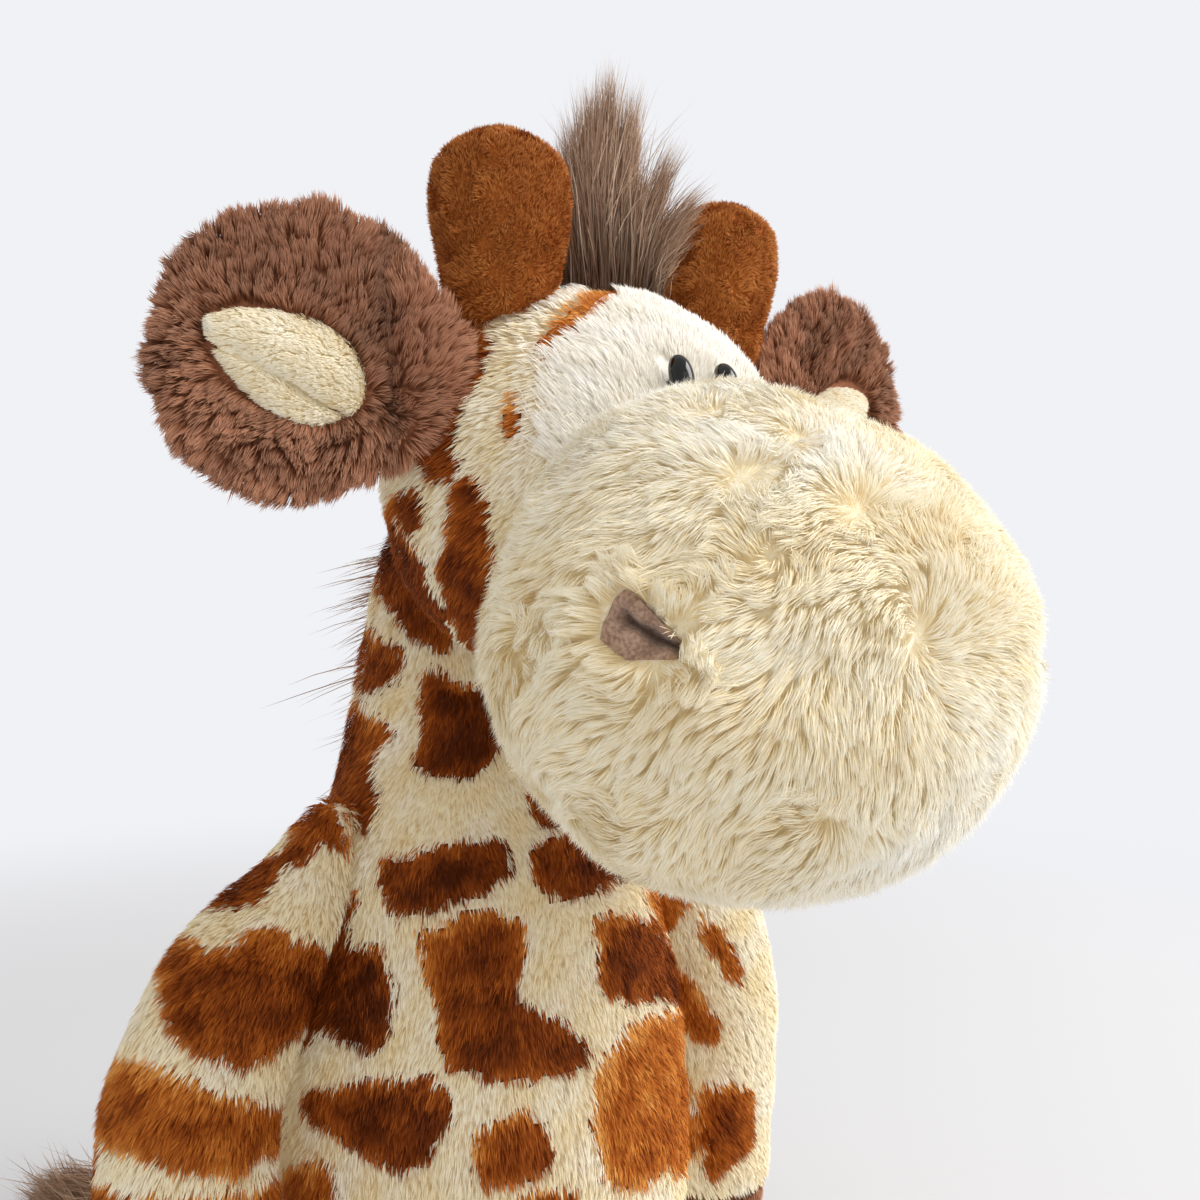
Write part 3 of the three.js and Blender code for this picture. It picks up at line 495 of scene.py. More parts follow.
def patched(points, normals, patches, draw):
    """The shade at points: inside a patch, whose edge wanders, its tint; elsewhere cream. A patch
    grows golden near its edge, most at the upper edge and the one on the toy's right."""
    shape = points.shape[:-1]
    points, normals = points.reshape(-1, 3), normals.reshape(-1, 3)
    depth_in = np.zeros(len(points))
    shade = CREAM_SHADE + 0.1 * ripple(points, 16, 31) + draw.normal(size=len(points)) * 0.05
    shade = np.clip(shade, 0.01, 0.44)
    wander = 0.6 * ripple(points, 12, 32) + 0.35 * ripple(points, 5, 33)
    wander = wander + draw.normal(size=len(points)) * 0.45
    for middle, out, level, rise, outline, tint in patches:
        gap = points - middle
        reach = 1.15 * np.linalg.norm(outline, axis=1).max() + 3
        near = np.flatnonzero((np.linalg.norm(gap, axis=1) < reach) & (normals @ out > -0.15))
        if not len(near):
            continue
        flat = gap[near] @ np.stack([level, rise], axis=1)
        inner = inside_by(flat, outline) + wander[near]
        upper = np.clip(0.5 + (flat @ [-0.4, 0.6]) / np.abs(outline).max(), 0.25, 1)
        hue = tint + 0.36 * upper * np.exp(-np.maximum(inner, 0) / 2.8) + 0.06 * ripple(points[near], 9, 34)
        hue = np.clip(hue + draw.normal(size=len(near)) * 0.05, 0.53, 0.99)
        better = inner > depth_in[near]
        depth_in[near[better]] = inner[better]
        shade[near[better]] = hue[better]
    return shade.reshape(shape)


def only(keep, *arrays):
    """The entries of arrays that are kept."""
    return [array[keep] for array in arrays]


CREAM_STOPS = [
    (0.0, paint(0.965, 0.90, 0.73)), (0.22, paint(0.985, 0.95, 0.84)), (0.45, paint(0.995, 0.975, 0.92))]
SPOTTED_STOPS = CREAM_STOPS + [
    (0.5, paint(0.98, 0.935, 0.82)), (0.515, paint(0.31, 0.13, 0.045)), (0.66, paint(0.56, 0.265, 0.08)),
    (0.8, paint(0.72, 0.39, 0.13)), (0.92, paint(0.84, 0.52, 0.21)), (1.0, paint(0.93, 0.69, 0.37))]
spotted = plush("spotted_plush", SPOTTED_STOPS, (0.76, 0.64, 0.46, 1.0))

PILE_HEIGHT = 2.4
BODY_HEIGHT = 238.0
BODY_BOTTOM = 2.3
BELLY_HALF_WIDTH, BELLY_HALF_DEPTH = 57.0, 53.0
NECK_SHIFT = np.array([-5.0, 3.0])
NECK_NOD = np.array([6.0, -10.0])
body_shares = np.array([
    [0, 0.8, 0.8, 0, 0], [0.03, 0.9, 0.9, 0, 0], [0.09, 0.965, 0.965, 0, 0], [0.2, 1, 1, 0, 0],
    [0.3, 1, 1, 0, 0], [0.4, 0.96, 0.96, 0, 0], [0.49, 0.885, 0.9, 0.05, 0], [0.56, 0.81, 0.835, 0.15, 0],
    [0.63, 0.72, 0.75, 0.35, 0], [0.7, 0.625, 0.66, 0.6, 0], [0.77, 0.54, 0.58, 0.85, 0],
    [0.85, 0.485, 0.525, 1, 0.1], [0.92, 0.46, 0.495, 1, 0.45], [0.965, 0.38, 0.41, 1, 0.8],
    [0.99, 0.22, 0.24, 1, 1]])
body_middle = body_shares[:, 3:4] * NECK_SHIFT + body_shares[:, 4:5] * NECK_NOD
body_rows = spline(np.column_stack([
    body_middle, BODY_BOTTOM + (BODY_HEIGHT - BODY_BOTTOM) * body_shares[:, 0],
    BELLY_HALF_WIDTH * body_shares[:, 1], BELLY_HALF_DEPTH * body_shares[:, 2]]), 110)


def rings_round(rows, sides, first_way, second_way):
    """Rings about rows of centre, half width and half depth: centre + width cos + depth sin."""
    angle = np.linspace(0, 2 * np.pi, sides, endpoint=False)[None, :, None]
    return (rows[:, None, :3] + rows[:, None, 3:4] * np.cos(angle) * first_way
            + rows[:, None, 4:5] * np.sin(angle) * second_way)


X_WAY, Y_WAY, Z_WAY = np.eye(3)
body_grid = rings_round(body_rows - [0, 0, 0, PILE_HEIGHT, PILE_HEIGHT], 150, X_WAY, Y_WAY)
seat_shares = np.array([0.25, 0.5, 0.75, 0.94])[:, None, None]
seat = body_grid[:1] * [0, 0, 1] + body_grid[:1] * [1, 1, 0] * seat_shares
body_grid = np.concatenate([seat, body_grid])
body_normals = ring_normals(body_grid)


def in_body(points, room=0.0):
    """Whether points lie inside the body: within its ring's ellipse at their own height."""
    x, y, wide, deep = (
        np.interp(points[..., 2], body_rows[:, 2], body_rows[:, column]) for column in (0, 1, 3, 4))
    within = ((points[..., 0] - x) / (wide + room)) ** 2 + ((points[..., 1] - y) / (deep + room)) ** 2 < 1
    return within & (points[..., 2] < BODY_HEIGHT) & (points[..., 2] > BODY_BOTTOM - 1)


def turn_about(axis, angle):
    """The matrix of a turn about an axis: its cosine twice, and its sine with either sign."""
    first, second = (axis + 1) % 3, (axis + 2) % 3
    turn = np.eye(3)
    turn[[first, second], [first, second]] = np.cos(angle)
    turn[[first, second], [second, first]] = -np.sin(angle), np.sin(angle)
    return turn


HEAD_PLACE = np.array([11.0, -37.0, 233.0])
HEAD_HALVES = np.array([52.0, 50.0, 50.0])
HEAD_TURN, HEAD_ROLL = np.radians(2), np.radians(3)
HEAD_AXES = turn_about(2, HEAD_TURN) @ turn_about(1, HEAD_ROLL)
MUZZLE_IN_HEAD = np.array([8.0, -62.0, -38.0])
MUZZLE_HALVES = np.array([60.0, 49.0, 51.5])


def from_head(local):
    """Points of the head's own frame, in the toy's."""
    return local @ HEAD_AXES.T + HEAD_PLACE


def to_head(points, centre=HEAD_PLACE):
    """The toy's points in the head's own frame, or in one that is turned alike about a centre."""
    return (points - centre) @ HEAD_AXES


def in_ball(points, centre, halves, room=0.0):
    """Whether points lie inside an egg that is turned as the head is."""
    return ((to_head(points, centre) / (halves + room)) ** 2).sum(-1) < 1


def ball_normals(points, centre, halves):
    """The way straight out of such an egg: each measure over its half's square."""
    return unit((to_head(points, centre) / halves ** 2) @ HEAD_AXES.T)


MUZZLE_PLACE = from_head(MUZZLE_IN_HEAD)
SEEN_PATCHES = [
    (0.60, 402, 493, 417, 488, 427, 493, 426, 519, 422, 542, 414, 538, 404, 519, 395, 509),
    (0.62, 387, 534, 397, 526, 417, 544, 429, 565, 437, 590, 447, 613, 455, 631, 456, 647, 442, 655,
     427, 647, 409, 634, 395, 618, 382, 600, 382, 575, 385, 552),
    (0.62, 455, 488, 470, 479, 488, 493, 495, 555, 495, 600, 480, 645, 465, 634, 452, 613, 442, 585,
     438, 560, 447, 542, 454, 506),
    (0.68, 361, 636, 366, 612, 378, 640, 393, 645, 410, 657, 406, 671, 395, 684, 378, 692, 366, 690,
     363, 665),
    (0.72, 366, 545, 370, 567, 372, 598, 366, 612, 359, 585, 358, 560),
    (0.54, 426, 667, 437, 671, 449, 678, 464, 684, 500, 690, 505, 745, 495, 759, 472, 782, 456, 783,
     437, 780, 414, 766, 412, 762, 424, 741, 424, 716, 422, 694),
    (0.68, 361, 712, 372, 715, 384, 726, 391, 736, 387, 747, 380, 757, 376, 770, 382, 803, 374, 818,
     368, 835, 359, 833, 341, 804, 337, 793, 339, 764, 351, 730),
    (0.55, 521, 785, 542, 795, 556, 806, 571, 831, 554, 833, 537, 827, 527, 818, 523, 808),
    (0.58, 528, 854, 550, 838, 571, 831, 590, 845, 612, 866, 632, 879, 612, 887, 584, 900, 561, 902,
     546, 894, 533, 879),
    (0.78, 640, 884, 663, 889, 683, 894, 686, 905, 673, 933, 663, 935, 653, 922, 648, 907),
    (0.55, 385, 859, 416, 854, 450, 848, 474, 839, 505, 841, 516, 876, 498, 885, 474, 900, 435, 914,
     401, 917, 389, 905, 384, 881),
    (0.64, 419, 932, 450, 922, 481, 913, 508, 913, 520, 924, 525, 956, 519, 985, 525, 1004, 553, 1017,
     561, 1030, 594, 1041, 584, 1068, 561, 1076, 522, 1081, 481, 1082, 464, 1072, 447, 1060, 437, 1038,
     434, 1004, 425, 977),
    (0.57, 358, 888, 360, 905, 350, 930, 352, 946, 384, 946, 390, 970, 394, 1002, 392, 1033, 386, 1045,
     377, 1056, 357, 1052, 338, 1038, 321, 1033, 306, 1050, 294, 1047, 304, 1013, 321, 970, 338, 925),
    (0.62, 353, 1077, 389, 1077, 430, 1079, 447, 1096, 453, 1111, 450, 1130, 440, 1147, 430, 1162,
     408, 1170, 370, 1162, 350, 1147, 328, 1130, 309, 1116, 304, 1106, 316, 1086, 336, 1084),
    (0.68, 474, 1132, 491, 1123, 528, 1108, 536, 1122, 549, 1148, 554, 1170, 515, 1186, 491, 1190,
     477, 1184),
    (0.62, 590, 920, 622, 915, 643, 920, 653, 933, 663, 950, 673, 966, 683, 979, 678, 999, 653, 1002,
     632, 1004, 609, 1002, 597, 984, 594, 953),
    (0.80, 668, 973, 678, 963, 696, 976, 701, 994, 714, 1009, 722, 1022, 717, 1040, 711, 1046,
     699, 1042, 686, 1030, 678, 1017, 681, 999, 673, 989),
    (0.72, 701, 910, 712, 922, 727, 943, 740, 968, 741, 986, 734, 988, 712, 956, 699, 940, 694, 922),
    (0.84, 617, 1037, 638, 1019, 663, 1014, 676, 1025, 683, 1037, 678, 1058, 686, 1081, 700, 1121,
     703, 1147, 689, 1160, 663, 1175, 638, 1190, 617, 1190, 602, 1175, 594, 1152, 589, 1124, 594, 1101,
     594, 1076, 604, 1053),
    (0.68, 694, 1088, 709, 1083, 740, 1081, 751, 1093, 755, 1111, 752, 1134, 740, 1157, 729, 1167,
     712, 1178, 705, 1170, 699, 1119),
    (0.74, 515, 1196, 540, 1190, 570, 1192, 582, 1215, 560, 1245, 520, 1240),
    (0.80, 300, 1165, 320, 1158, 336, 1172, 338, 1190, 332, 1215, 300, 1225, 286, 1200, 288, 1178),
    (0.64, 465, 335, 493, 343, 488, 378, 470, 401, 465, 419, 456, 445, 460, 463, 452, 483, 425, 480,
     415, 440, 440, 380),
    (0.85, 540, 350, 558, 322, 585, 303, 614, 292, 620, 308, 600, 326, 574, 341, 552, 355),
    (0.80, 509, 391, 521, 394, 523, 417, 519, 432, 511, 440, 506, 430, 507, 407),
    (0.64, 300, 822, 318, 802, 340, 805, 343, 834, 339, 851, 327, 844, 318, 838, 315, 851, 303, 863,
     286, 868, 279, 885, 259, 905, 240, 912, 216, 913, 204, 905, 206, 897, 221, 883, 242, 868, 264, 861,
     284, 856, 296, 837),
    (0.68, 175, 951, 189, 944, 206, 946, 216, 956, 235, 948, 250, 934, 269, 929, 291, 936, 320, 948,
     318, 970, 310, 990, 301, 1014, 291, 1036, 274, 1050, 259, 1062, 240, 1072, 221, 1067, 201, 1057,
     182, 1045, 170, 1033, 165, 1009, 165, 985, 170, 965),
    (0.78, 117, 1077, 129, 1062, 146, 1058, 163, 1062, 194, 1083, 221, 1094, 250, 1101, 284, 1105,
     284, 1142, 272, 1152, 255, 1159, 230, 1175, 204, 1176, 182, 1169, 138, 1159, 121, 1152, 109, 1140,
     108, 1111),
    (0.78, 132, 990, 137, 1002, 144, 1014, 133, 1031, 124, 1050, 112, 1082, 104, 1087, 112, 1062,
     119, 1038, 121, 1009),
    (0.76, 92, 1167, 104, 1132, 110, 1150, 100, 1175),
    (0.72, 97, 1183, 115, 1180, 133, 1190, 130, 1230, 100, 1240),
    (0.80, 140, 1196, 200, 1196, 250, 1190, 270, 1184, 280, 1200, 280, 1262, 200, 1270, 135, 1250)]
draw = np.random.default_rng(5)
body_spots = patches_on(body_grid, body_normals, SEEN_PATCHES, draw, 33, (11, 17))
skin("body_skin", body_grid, patched(body_grid, body_normals, body_spots, draw), spotted, "torso",
     ["body_skin", "body_stuffing", "pellet_bag"])

SHORT_PILE = 4.8
BODY_HAIRS = 150000


def downwards(points, sideways, backwards):
    """A way down, with a way along the toy's width and one along its depth for each point."""
    return np.stack([sideways, backwards, -np.ones(len(points))], axis=-1)


points, normals = roots(body_grid, body_normals, BODY_HAIRS, draw)
clear = (~in_ball(points + normals * 3, HEAD_PLACE, HEAD_HALVES - 2)
         & ~in_ball(points, MUZZLE_PLACE, MUZZLE_HALVES) & (points[:, 2] > 3))
points, normals = only(clear, points, normals)
comb = downwards(points, 0.25 * ripple(points, 40, 41), 0.25 * ripple(points, 40, 42))
shade = patched(points + unit(comb) * 0.5 * SHORT_PILE, normals, body_spots, draw)
lift = 0.48 + 0.14 * ripple(points, 22, 43)
for name, half in (("body_pile_right", points[:, 0] < 0), ("body_pile_left", points[:, 0] >= 0)):
    pile(name, points[half], normals[half], comb[half], SHORT_PILE, lift[half], 0.32, shade[half], spotted,
         "torso", draw)


# Base panel: a disc of short brown fabric that is sewn under the seat and closes the body there.
# It is made as rings from the middle of its underside, round its soft rim, to its top.
BROWN_STOPS = [
    (0.0, paint(0.36, 0.21, 0.135)), (0.36, paint(0.54, 0.335, 0.23)), (1.0, paint(0.77, 0.54, 0.41))]
brown = plush("brown_plush", BROWN_STOPS, (0.6, 0.5, 0.44, 1.0), paint(0.88, 0.68, 0.56), 0.55, 0.04)
BASE_RADIUS = 42.4
base_profile = np.array([
    [0.4, 0.05], [0.8, 0.0], [0.97, 0.15], [1.0, 1.0], [0.97, 1.85], [0.8, 2.0], [0.4, 2.0]])
base_rows = np.column_stack([np.zeros((7, 2)), base_profile[:, 1], BASE_RADIUS * base_profile[:, [0, 0]]])
skin("base_panel", rings_round(base_rows, 96, X_WAY, Y_WAY), 0.4, brown, "torso")


# Head: a stuffed ball of the same spotted plush in front of the neck. It gives way where the neck
# enters it from behind and where the muzzle is sewn on.
def egg(centre, halves, rings, sides):
    """An egg as rings from its bottom to its top: halves times sines and cosines of two angles."""
    rise = np.linspace(-np.pi / 2, np.pi / 2, rings + 2)[1:-1]
    rows = np.column_stack([np.zeros((rings, 2)), halves[2] * np.sin(rise),
                            halves[0] * np.cos(rise), halves[1] * np.cos(rise)])
    return rings_round(rows, sides, X_WAY, Y_WAY) @ HEAD_AXES.T + centre


head_grid = egg(HEAD_PLACE, HEAD_HALVES - PILE_HEIGHT, 90, 150)
head_grid = pressed(head_grid, HEAD_PLACE, lambda p: in_body(p, 0.4))
head_grid = pressed(head_grid, HEAD_PLACE, lambda p: in_ball(p, MUZZLE_PLACE, MUZZLE_HALVES, 0.4))
head_normals = ball_normals(head_grid, HEAD_PLACE, HEAD_HALVES)
draw = np.random.default_rng(7)
head_spots = patches_on(head_grid, head_normals, SEEN_PATCHES, draw, 34, (10, 15))
skin("head", head_grid, patched(head_grid, head_normals, head_spots, draw), spotted, "torso")

FOREHEAD_HALVES = np.array([30.0, 46.0])
ORANGE_STRIP = np.array(
    [540, 352, 556, 322, 584, 302, 616, 290, 622, 308, 602, 328, 576, 342, 554, 358]).reshape(-1, 2)


def on_forehead(points, room=0.0, blur=0.0):
    """Whether points of the head's surface are covered by the forehead's own panel."""
    local = to_head(points)
    share = ((local[..., [0, 2]] / (FOREHEAD_HALVES + room)) ** 2).sum(-1)
    in_strip = (inside_by(in_photo(points).reshape(-1, 2), ORANGE_STRIP) > 0).reshape(points.shape[:-1])
    within = share + 0.05 * ripple(points, 9, 60) + blur < 1
    return within & (local[..., 1] < 0) & (local[..., 2] > -room) & ~in_strip


HEAD_HAIRS = 77000
points, normals = roots(head_grid, head_normals, HEAD_HAIRS, draw)
blur = draw.normal(size=len(points)) * 0.13
buried = (in_body(points + normals * 3, 0.5) | on_forehead(points, -1.5, blur)
          | in_ball(points + normals * 3, MUZZLE_PLACE, MUZZLE_HALVES))
points, normals = only(~buried, points, normals)
comb = np.stack([0.3 * ripple(points, 45, 51), 0.8 + 0.2 * ripple(points, 45, 52),
                 -0.75 * np.ones(len(points))], axis=-1)
shade = patched(points + unit(comb) * 0.5 * SHORT_PILE, normals, head_spots, draw)
shade = np.where((shade < 0.5) & on_forehead(points, 7.0), np.minimum(shade + 0.2, 0.45), shade)
pile("head_pile", points, normals, comb, SHORT_PILE, 0.48 + 0.14 * ripple(points, 22, 53), 0.32, shade,
     spotted, "torso", draw)


# Forehead: a panel of whiter plush that is sewn into the head from the muzzle up to between the
# horns. It is a thin shell over the ball, and its hairs lie upwards and part round the eyes.
PALE_STOPS = [
    (0.0, paint(0.98, 0.955, 0.90)), (0.4, paint(0.99, 0.975, 0.94)), (1.0, paint(0.995, 0.985, 0.97))]
pale = plush("pale_plush", PALE_STOPS, (0.94, 0.91, 0.86, 1.0))
share = np.sin(np.linspace(0.03, 1, 30) * np.pi / 2)
share = np.concatenate([share, share[::-1]])[:, None]
front = np.concatenate([np.ones(30), np.zeros(30)])[:, None]
angle = np.linspace(0, 2 * np.pi, 120, endpoint=False)[None]
panel_x = FOREHEAD_HALVES[0] * share * np.cos(angle)
panel_z = FOREHEAD_HALVES[1] * np.maximum(share * np.sin(angle), -0.02) * 0.98 + 0.6
panel_y = -HEAD_HALVES[1] * np.sqrt(np.maximum(
    1 - (panel_x / HEAD_HALVES[0]) ** 2 - (panel_z / HEAD_HALVES[2]) ** 2, 0.02))
panel_y = panel_y + PILE_HEIGHT - 0.2 - 0.8 * front * (1 - share ** 4)
panel_grid = from_head(np.stack([panel_x, panel_y, panel_z], axis=-1))
panel_grid = pressed(panel_grid, HEAD_PLACE, lambda p: in_ball(p, MUZZLE_PLACE, MUZZLE_HALVES, 0.4))
skin("forehead", panel_grid, 0.5, pale, "torso", ["forehead_panel"])

EYE_SPACING, EYE_RISE, EYE_TILT = 12.4, 20.0, np.radians(-22)
EYE_HALVES = np.array([2.9, 3.4, 5.6])


def over_eyes(points, below, room):
    """Whether points cover an eye, seen from in front of the head: within its oval, let out by
    the room and drawn out downwards."""
    local = to_head(points)
    across = (np.abs(local[:, 0]) - EYE_SPACING / 2) / (EYE_HALVES[0] + room)
    rise = (local[:, 2] - EYE_RISE + below / 2) / (EYE_HALVES[2] + room + below / 2)
    return (across ** 2 + rise ** 2 < 1) & (local[:, 1] < 0)


FOREHEAD_HAIRS = 44000
FOREHEAD_PILE = 5.0
points, normals = roots(head_grid, head_normals, 5 * FOREHEAD_HAIRS, draw)
covered = (on_forehead(points, 0.5, draw.normal(size=len(points)) * 0.13)
           & ~in_ball(points + normals * 1.5, MUZZLE_PLACE, MUZZLE_HALVES) & ~over_eyes(points, 2.0, -0.9))
points, normals = only(covered, points + normals * 0.8, normals)
points, normals = points[:FOREHEAD_HAIRS], normals[:FOREHEAD_HAIRS]
spread = to_head(points)[:, :1] * 0.03
comb = HEAD_AXES[:, 2] * 0.9 + HEAD_AXES[:, 0] * spread + 0.16 * ripples(points, 18, 61)
pile("forehead_pile", points, normals, comb, FOREHEAD_PILE, 0.46 + 0.14 * ripple(points, 12, 64), 0.32,
     uneven(points, 0.5, [(0.16, 10, 65)], 0.1, draw), pale, "torso", draw, lock=2.4)


# Muzzle: the largest ball, of long-haired cream plush in two panels that meet in a seam down the
# front. Its hair runs away from the middle of the front and gathers in locks.
MUZZLE_STOPS = [(0.0, paint(0.95, 0.885, 0.72)), (0.35, paint(0.97, 0.93, 0.81)),
                (0.7, paint(0.985, 0.965, 0.90)), (1.0, paint(0.99, 0.985, 0.965))]
cream = plush("cream_plush", MUZZLE_STOPS, (0.92, 0.83, 0.66, 1.0), paint(0.995, 0.985, 0.95), 0.45)
MUZZLE_PILE_HEIGHT = 1.9
muzzle_grid = egg(MUZZLE_PLACE, MUZZLE_HALVES - MUZZLE_PILE_HEIGHT, 100, 160)
muzzle_normals = ball_normals(muzzle_grid, MUZZLE_PLACE, MUZZLE_HALVES)
CREASE = np.array([943, 667, 975, 655, 1010, 646, 1045, 637, 1046, 638, 1010, 647, 975, 656]).reshape(-1, 2)
CREASE_DEPTH, CREASE_HALF_WIDTH = 1.8, 9
DENT_HEIGHT, BROW_HEIGHT, CHEEK_HEIGHT = 0.7, 6.2, 2.4
crease_gap = np.abs(inside_by(in_photo(muzzle_grid.reshape(-1, 3)), CREASE))
fold = np.exp(-(crease_gap / CREASE_HALF_WIDTH) ** 2).reshape(muzzle_grid.shape[:2])[..., None]
dents = DENT_HEIGHT * ripple(muzzle_grid, 28, 70)[..., None]
muzzle_local = to_head(muzzle_grid, MUZZLE_PLACE)
brow = BROW_HEIGHT * np.exp(-((muzzle_local[..., 0] + 21) / 21) ** 2 - ((muzzle_local[..., 1] - 2) / 18) ** 2)
brow = brow * (muzzle_local[..., 2] > 0)
cheek = CHEEK_HEIGHT * np.clip(muzzle_normals @ RIGHTWARDS, 0, 1) ** 2
muzzle_grid = muzzle_grid + muzzle_normals * (brow + cheek)[..., None]
muzzle_grid = muzzle_grid - muzzle_normals * (
    CREASE_DEPTH * fold * (muzzle_normals @ -AHEAD > 0)[..., None] + dents)
NOSTRIL_TURN = np.radians(61)
NOSTRIL_RISE = 3.0
NOSTRIL_DEPTH = 5.2
NOSTRIL_OUTLINE = np.array([[-8.2, -2.2], [-7.9, -0.4], [-6.2, 4.8], [-4.4, 7.0], [-2.4, 6.2], [2.4, 1.8],
                            [7.4, -2.6], [9.4, -4.4], [8.0, -5.0], [-3.0, -5.8]])


def on_muzzle(local, proud=0.0):
    """Points of the muzzle's own frame moved straight out or in, to stand proud of its surface."""
    size = np.sqrt(((local / MUZZLE_HALVES) ** 2).sum(-1, keepdims=True))
    surface = local / size
    return surface + unit(surface / MUZZLE_HALVES ** 2) * np.asarray(proud)[..., None]


def nostril_frame(sign):
    """The middle of a nostril on the muzzle and the way it points, in the muzzle's own frame."""
    way = np.array([sign * np.sin(NOSTRIL_TURN), -np.cos(NOSTRIL_TURN), 0])
    middle = way / np.sqrt(((way / MUZZLE_HALVES) ** 2).sum()) + Z_WAY * NOSTRIL_RISE
    return middle, np.array([-sign * np.cos(NOSTRIL_TURN), -np.sin(NOSTRIL_TURN), 0])


def in_nostril(local):
    """How far points of the muzzle's frame lie inside a nostril's outline, below zero outside it."""
    deep = []
    for sign in (-1, 1):
        middle, ahead = nostril_frame(sign)
        flat = np.stack([(local - middle) @ ahead, local[:, 2] - middle[2]], axis=-1)
        deep.append(np.where(local[:, 0] * sign > 0, inside_by(flat, NOSTRIL_OUTLINE), -99))
    return np.maximum(*deep)


deep = in_nostril(muzzle_local.reshape(-1, 3)).reshape(muzzle_grid.shape[:2])[..., None]
muzzle_grid = muzzle_grid - muzzle_normals * NOSTRIL_DEPTH * np.clip((deep - 0.3) / 1.4, 0, 1)
muzzle_grid = pressed(muzzle_grid, MUZZLE_PLACE, lambda p: in_body(p, 0.4))
skin("muzzle", muzzle_grid, 0.4, cream, "torso")

MUZZLE_HAIRS = 230000
draw = np.random.default_rng(11)
points, normals = roots(muzzle_grid, muzzle_normals, MUZZLE_HAIRS, draw)
local = to_head(points, MUZZLE_PLACE)
buried = in_body(points + normals, 0.5) | in_ball(points + normals * 3, HEAD_PLACE, HEAD_HALVES - 4)
points, normals, local = only(~buried, points, normals, local)
WHORL, WHORL_REACH = np.array([-4.0, 0.0, 6.0]), 16
away = (local - WHORL) * [1, 0.25, 1]
near_whorl = np.exp(-((local - WHORL)[:, [0, 2]] ** 2).sum(-1, keepdims=True) / WHORL_REACH ** 2)
near_whorl = near_whorl * (local[:, 1:2] < 0)
swirl = np.stack([-away[:, 2], away[:, 1] * 0, away[:, 0]], axis=-1)
ruffle = ripples(points, 9, 76)
comb = unit(away + swirl * 1.2 * near_whorl) @ HEAD_AXES.T + Y_WAY * 0.2 - Z_WAY * 0.35
comb = comb + ripples(points, 24, 71) * 0.5 + ruffle * 0.25
parted = np.exp(-(in_nostril(local) / 4.5) ** 2)[:, None]
from_nostril = [local - nostril_frame(sign)[0] for sign in (-1, 1)]
from_nostril = unit(np.where(local[:, :1] < 0, *from_nostril)) @ HEAD_AXES.T
comb = unit(comb) * (1 - 0.7 * parted) + from_nostril * parted * 0.5 + ruffle * 0.4 * parted
# Whiter towards the toy's left and the bottom: whiter cream below, and painted light on the toy's left side,
# which faces the lamp.
white = np.clip((normals @ unit(np.array([0.75, -0.1, -0.65])) - 0.2) / 0.6, 0, 1)
by_forehead = np.clip((local[:, 2] - 16) / 22, 0, 1) * np.clip((10 - local[:, 0]) / 20, 0, 1)
shade = uneven(points, 0.31 + 0.62 * white + 0.52 * by_forehead, [(0.14, 20, 74)], 0.15, draw)
wisps = np.clip(0.5 + 0.7 * (normals @ unit(np.array([-0.6, -0.2, -0.5]))), 0, 1)
crown = np.clip((local[:, 2] - 34) / 14, 0, 1) * np.clip((local[:, 1] + 10) / 25, 0, 1)
front = np.clip((unit(CAMERA_PLACE - MUZZLE_PLACE) @ normals.T - 0.12) / 0.4, 0, 1)
lift = 0.25 + 0.12 * wisps + 0.3 * crown + 0.1 * ripple(points, 15, 75)
lift = lift + 0.25 * (draw.random(len(points)) < 0.12) + 0.35 * (1 - front) + 0.55 * parted[:, 0]
MUZZLE_PILE, MUZZLE_WISPS = 5.4, 3.0
FRINGE_SHARE = 0.14
MIDDLE_HALF_WIDTH = 14
long = (MUZZLE_PILE + MUZZLE_WISPS * wisps) * (0.72 + 0.28 * front)
fringe = draw.random(len(points)) < FRINGE_SHARE


def reaches_in(share):
    """How deep in a nostril each hair is at a share of its length, if it lay flat."""
    return in_nostril(to_head(points + unit(comb) * long[:, None] * share, MUZZLE_PLACE))


clear = ((in_nostril(local) < 0.5) & (reaches_in(0.4) < 1.0 + 0.7 * fringe)
         & (reaches_in(0.8) < 1.6 + 1.2 * fringe))
for name, third in (("right", local[:, 0] < -MIDDLE_HALF_WIDTH),
                    ("middle", np.abs(local[:, 0] + 0.01) <= MIDDLE_HALF_WIDTH),
                    ("left", local[:, 0] > MIDDLE_HALF_WIDTH)):
    third = third & clear
    pile(f"muzzle_pile_{name}", points[third], normals[third], comb[third], long[third], lift[third], 0.24,
         shade[third], cream, "torso", draw, lock=2.8, pull=0.2 + 0.5 * wisps[third] * front[third],
         stray=0.15)


# Nostrils: darts of taupe felt let into the muzzle's two panels, pinched into a fold that runs
# forward and down to the point. Along the fold the felt is painted darker, as painted shade.
felt, surface, nodes = principled("taupe_felt", {"Roughness": 0.9, "Sheen Weight": 0.3})
fibre, cloud = noise(nodes, 1400.0, 4.0), noise(nodes, 260.0)
mottled = (fibre * 0.65 + cloud * 0.35).over(0.35, 0.65).blend(
    paint(0.58, 0.45, 0.38), paint(0.78, 0.65, 0.56))
# Along its pinched fold the felt is painted darker towards a deep brown: painted shade.
crease = nodes.node("Attribute", {"attribute_name": "crease"}, output=2)
nodes.feed(surface["Base Color"], (crease * 0.75).blend(mottled, paint(0.24, 0.17, 0.14)))
nodes.feed(surface["Normal"], nodes.node("Bump", None, {
    "Strength": 0.7, "Distance": 0.0005, "Height": fibre}))

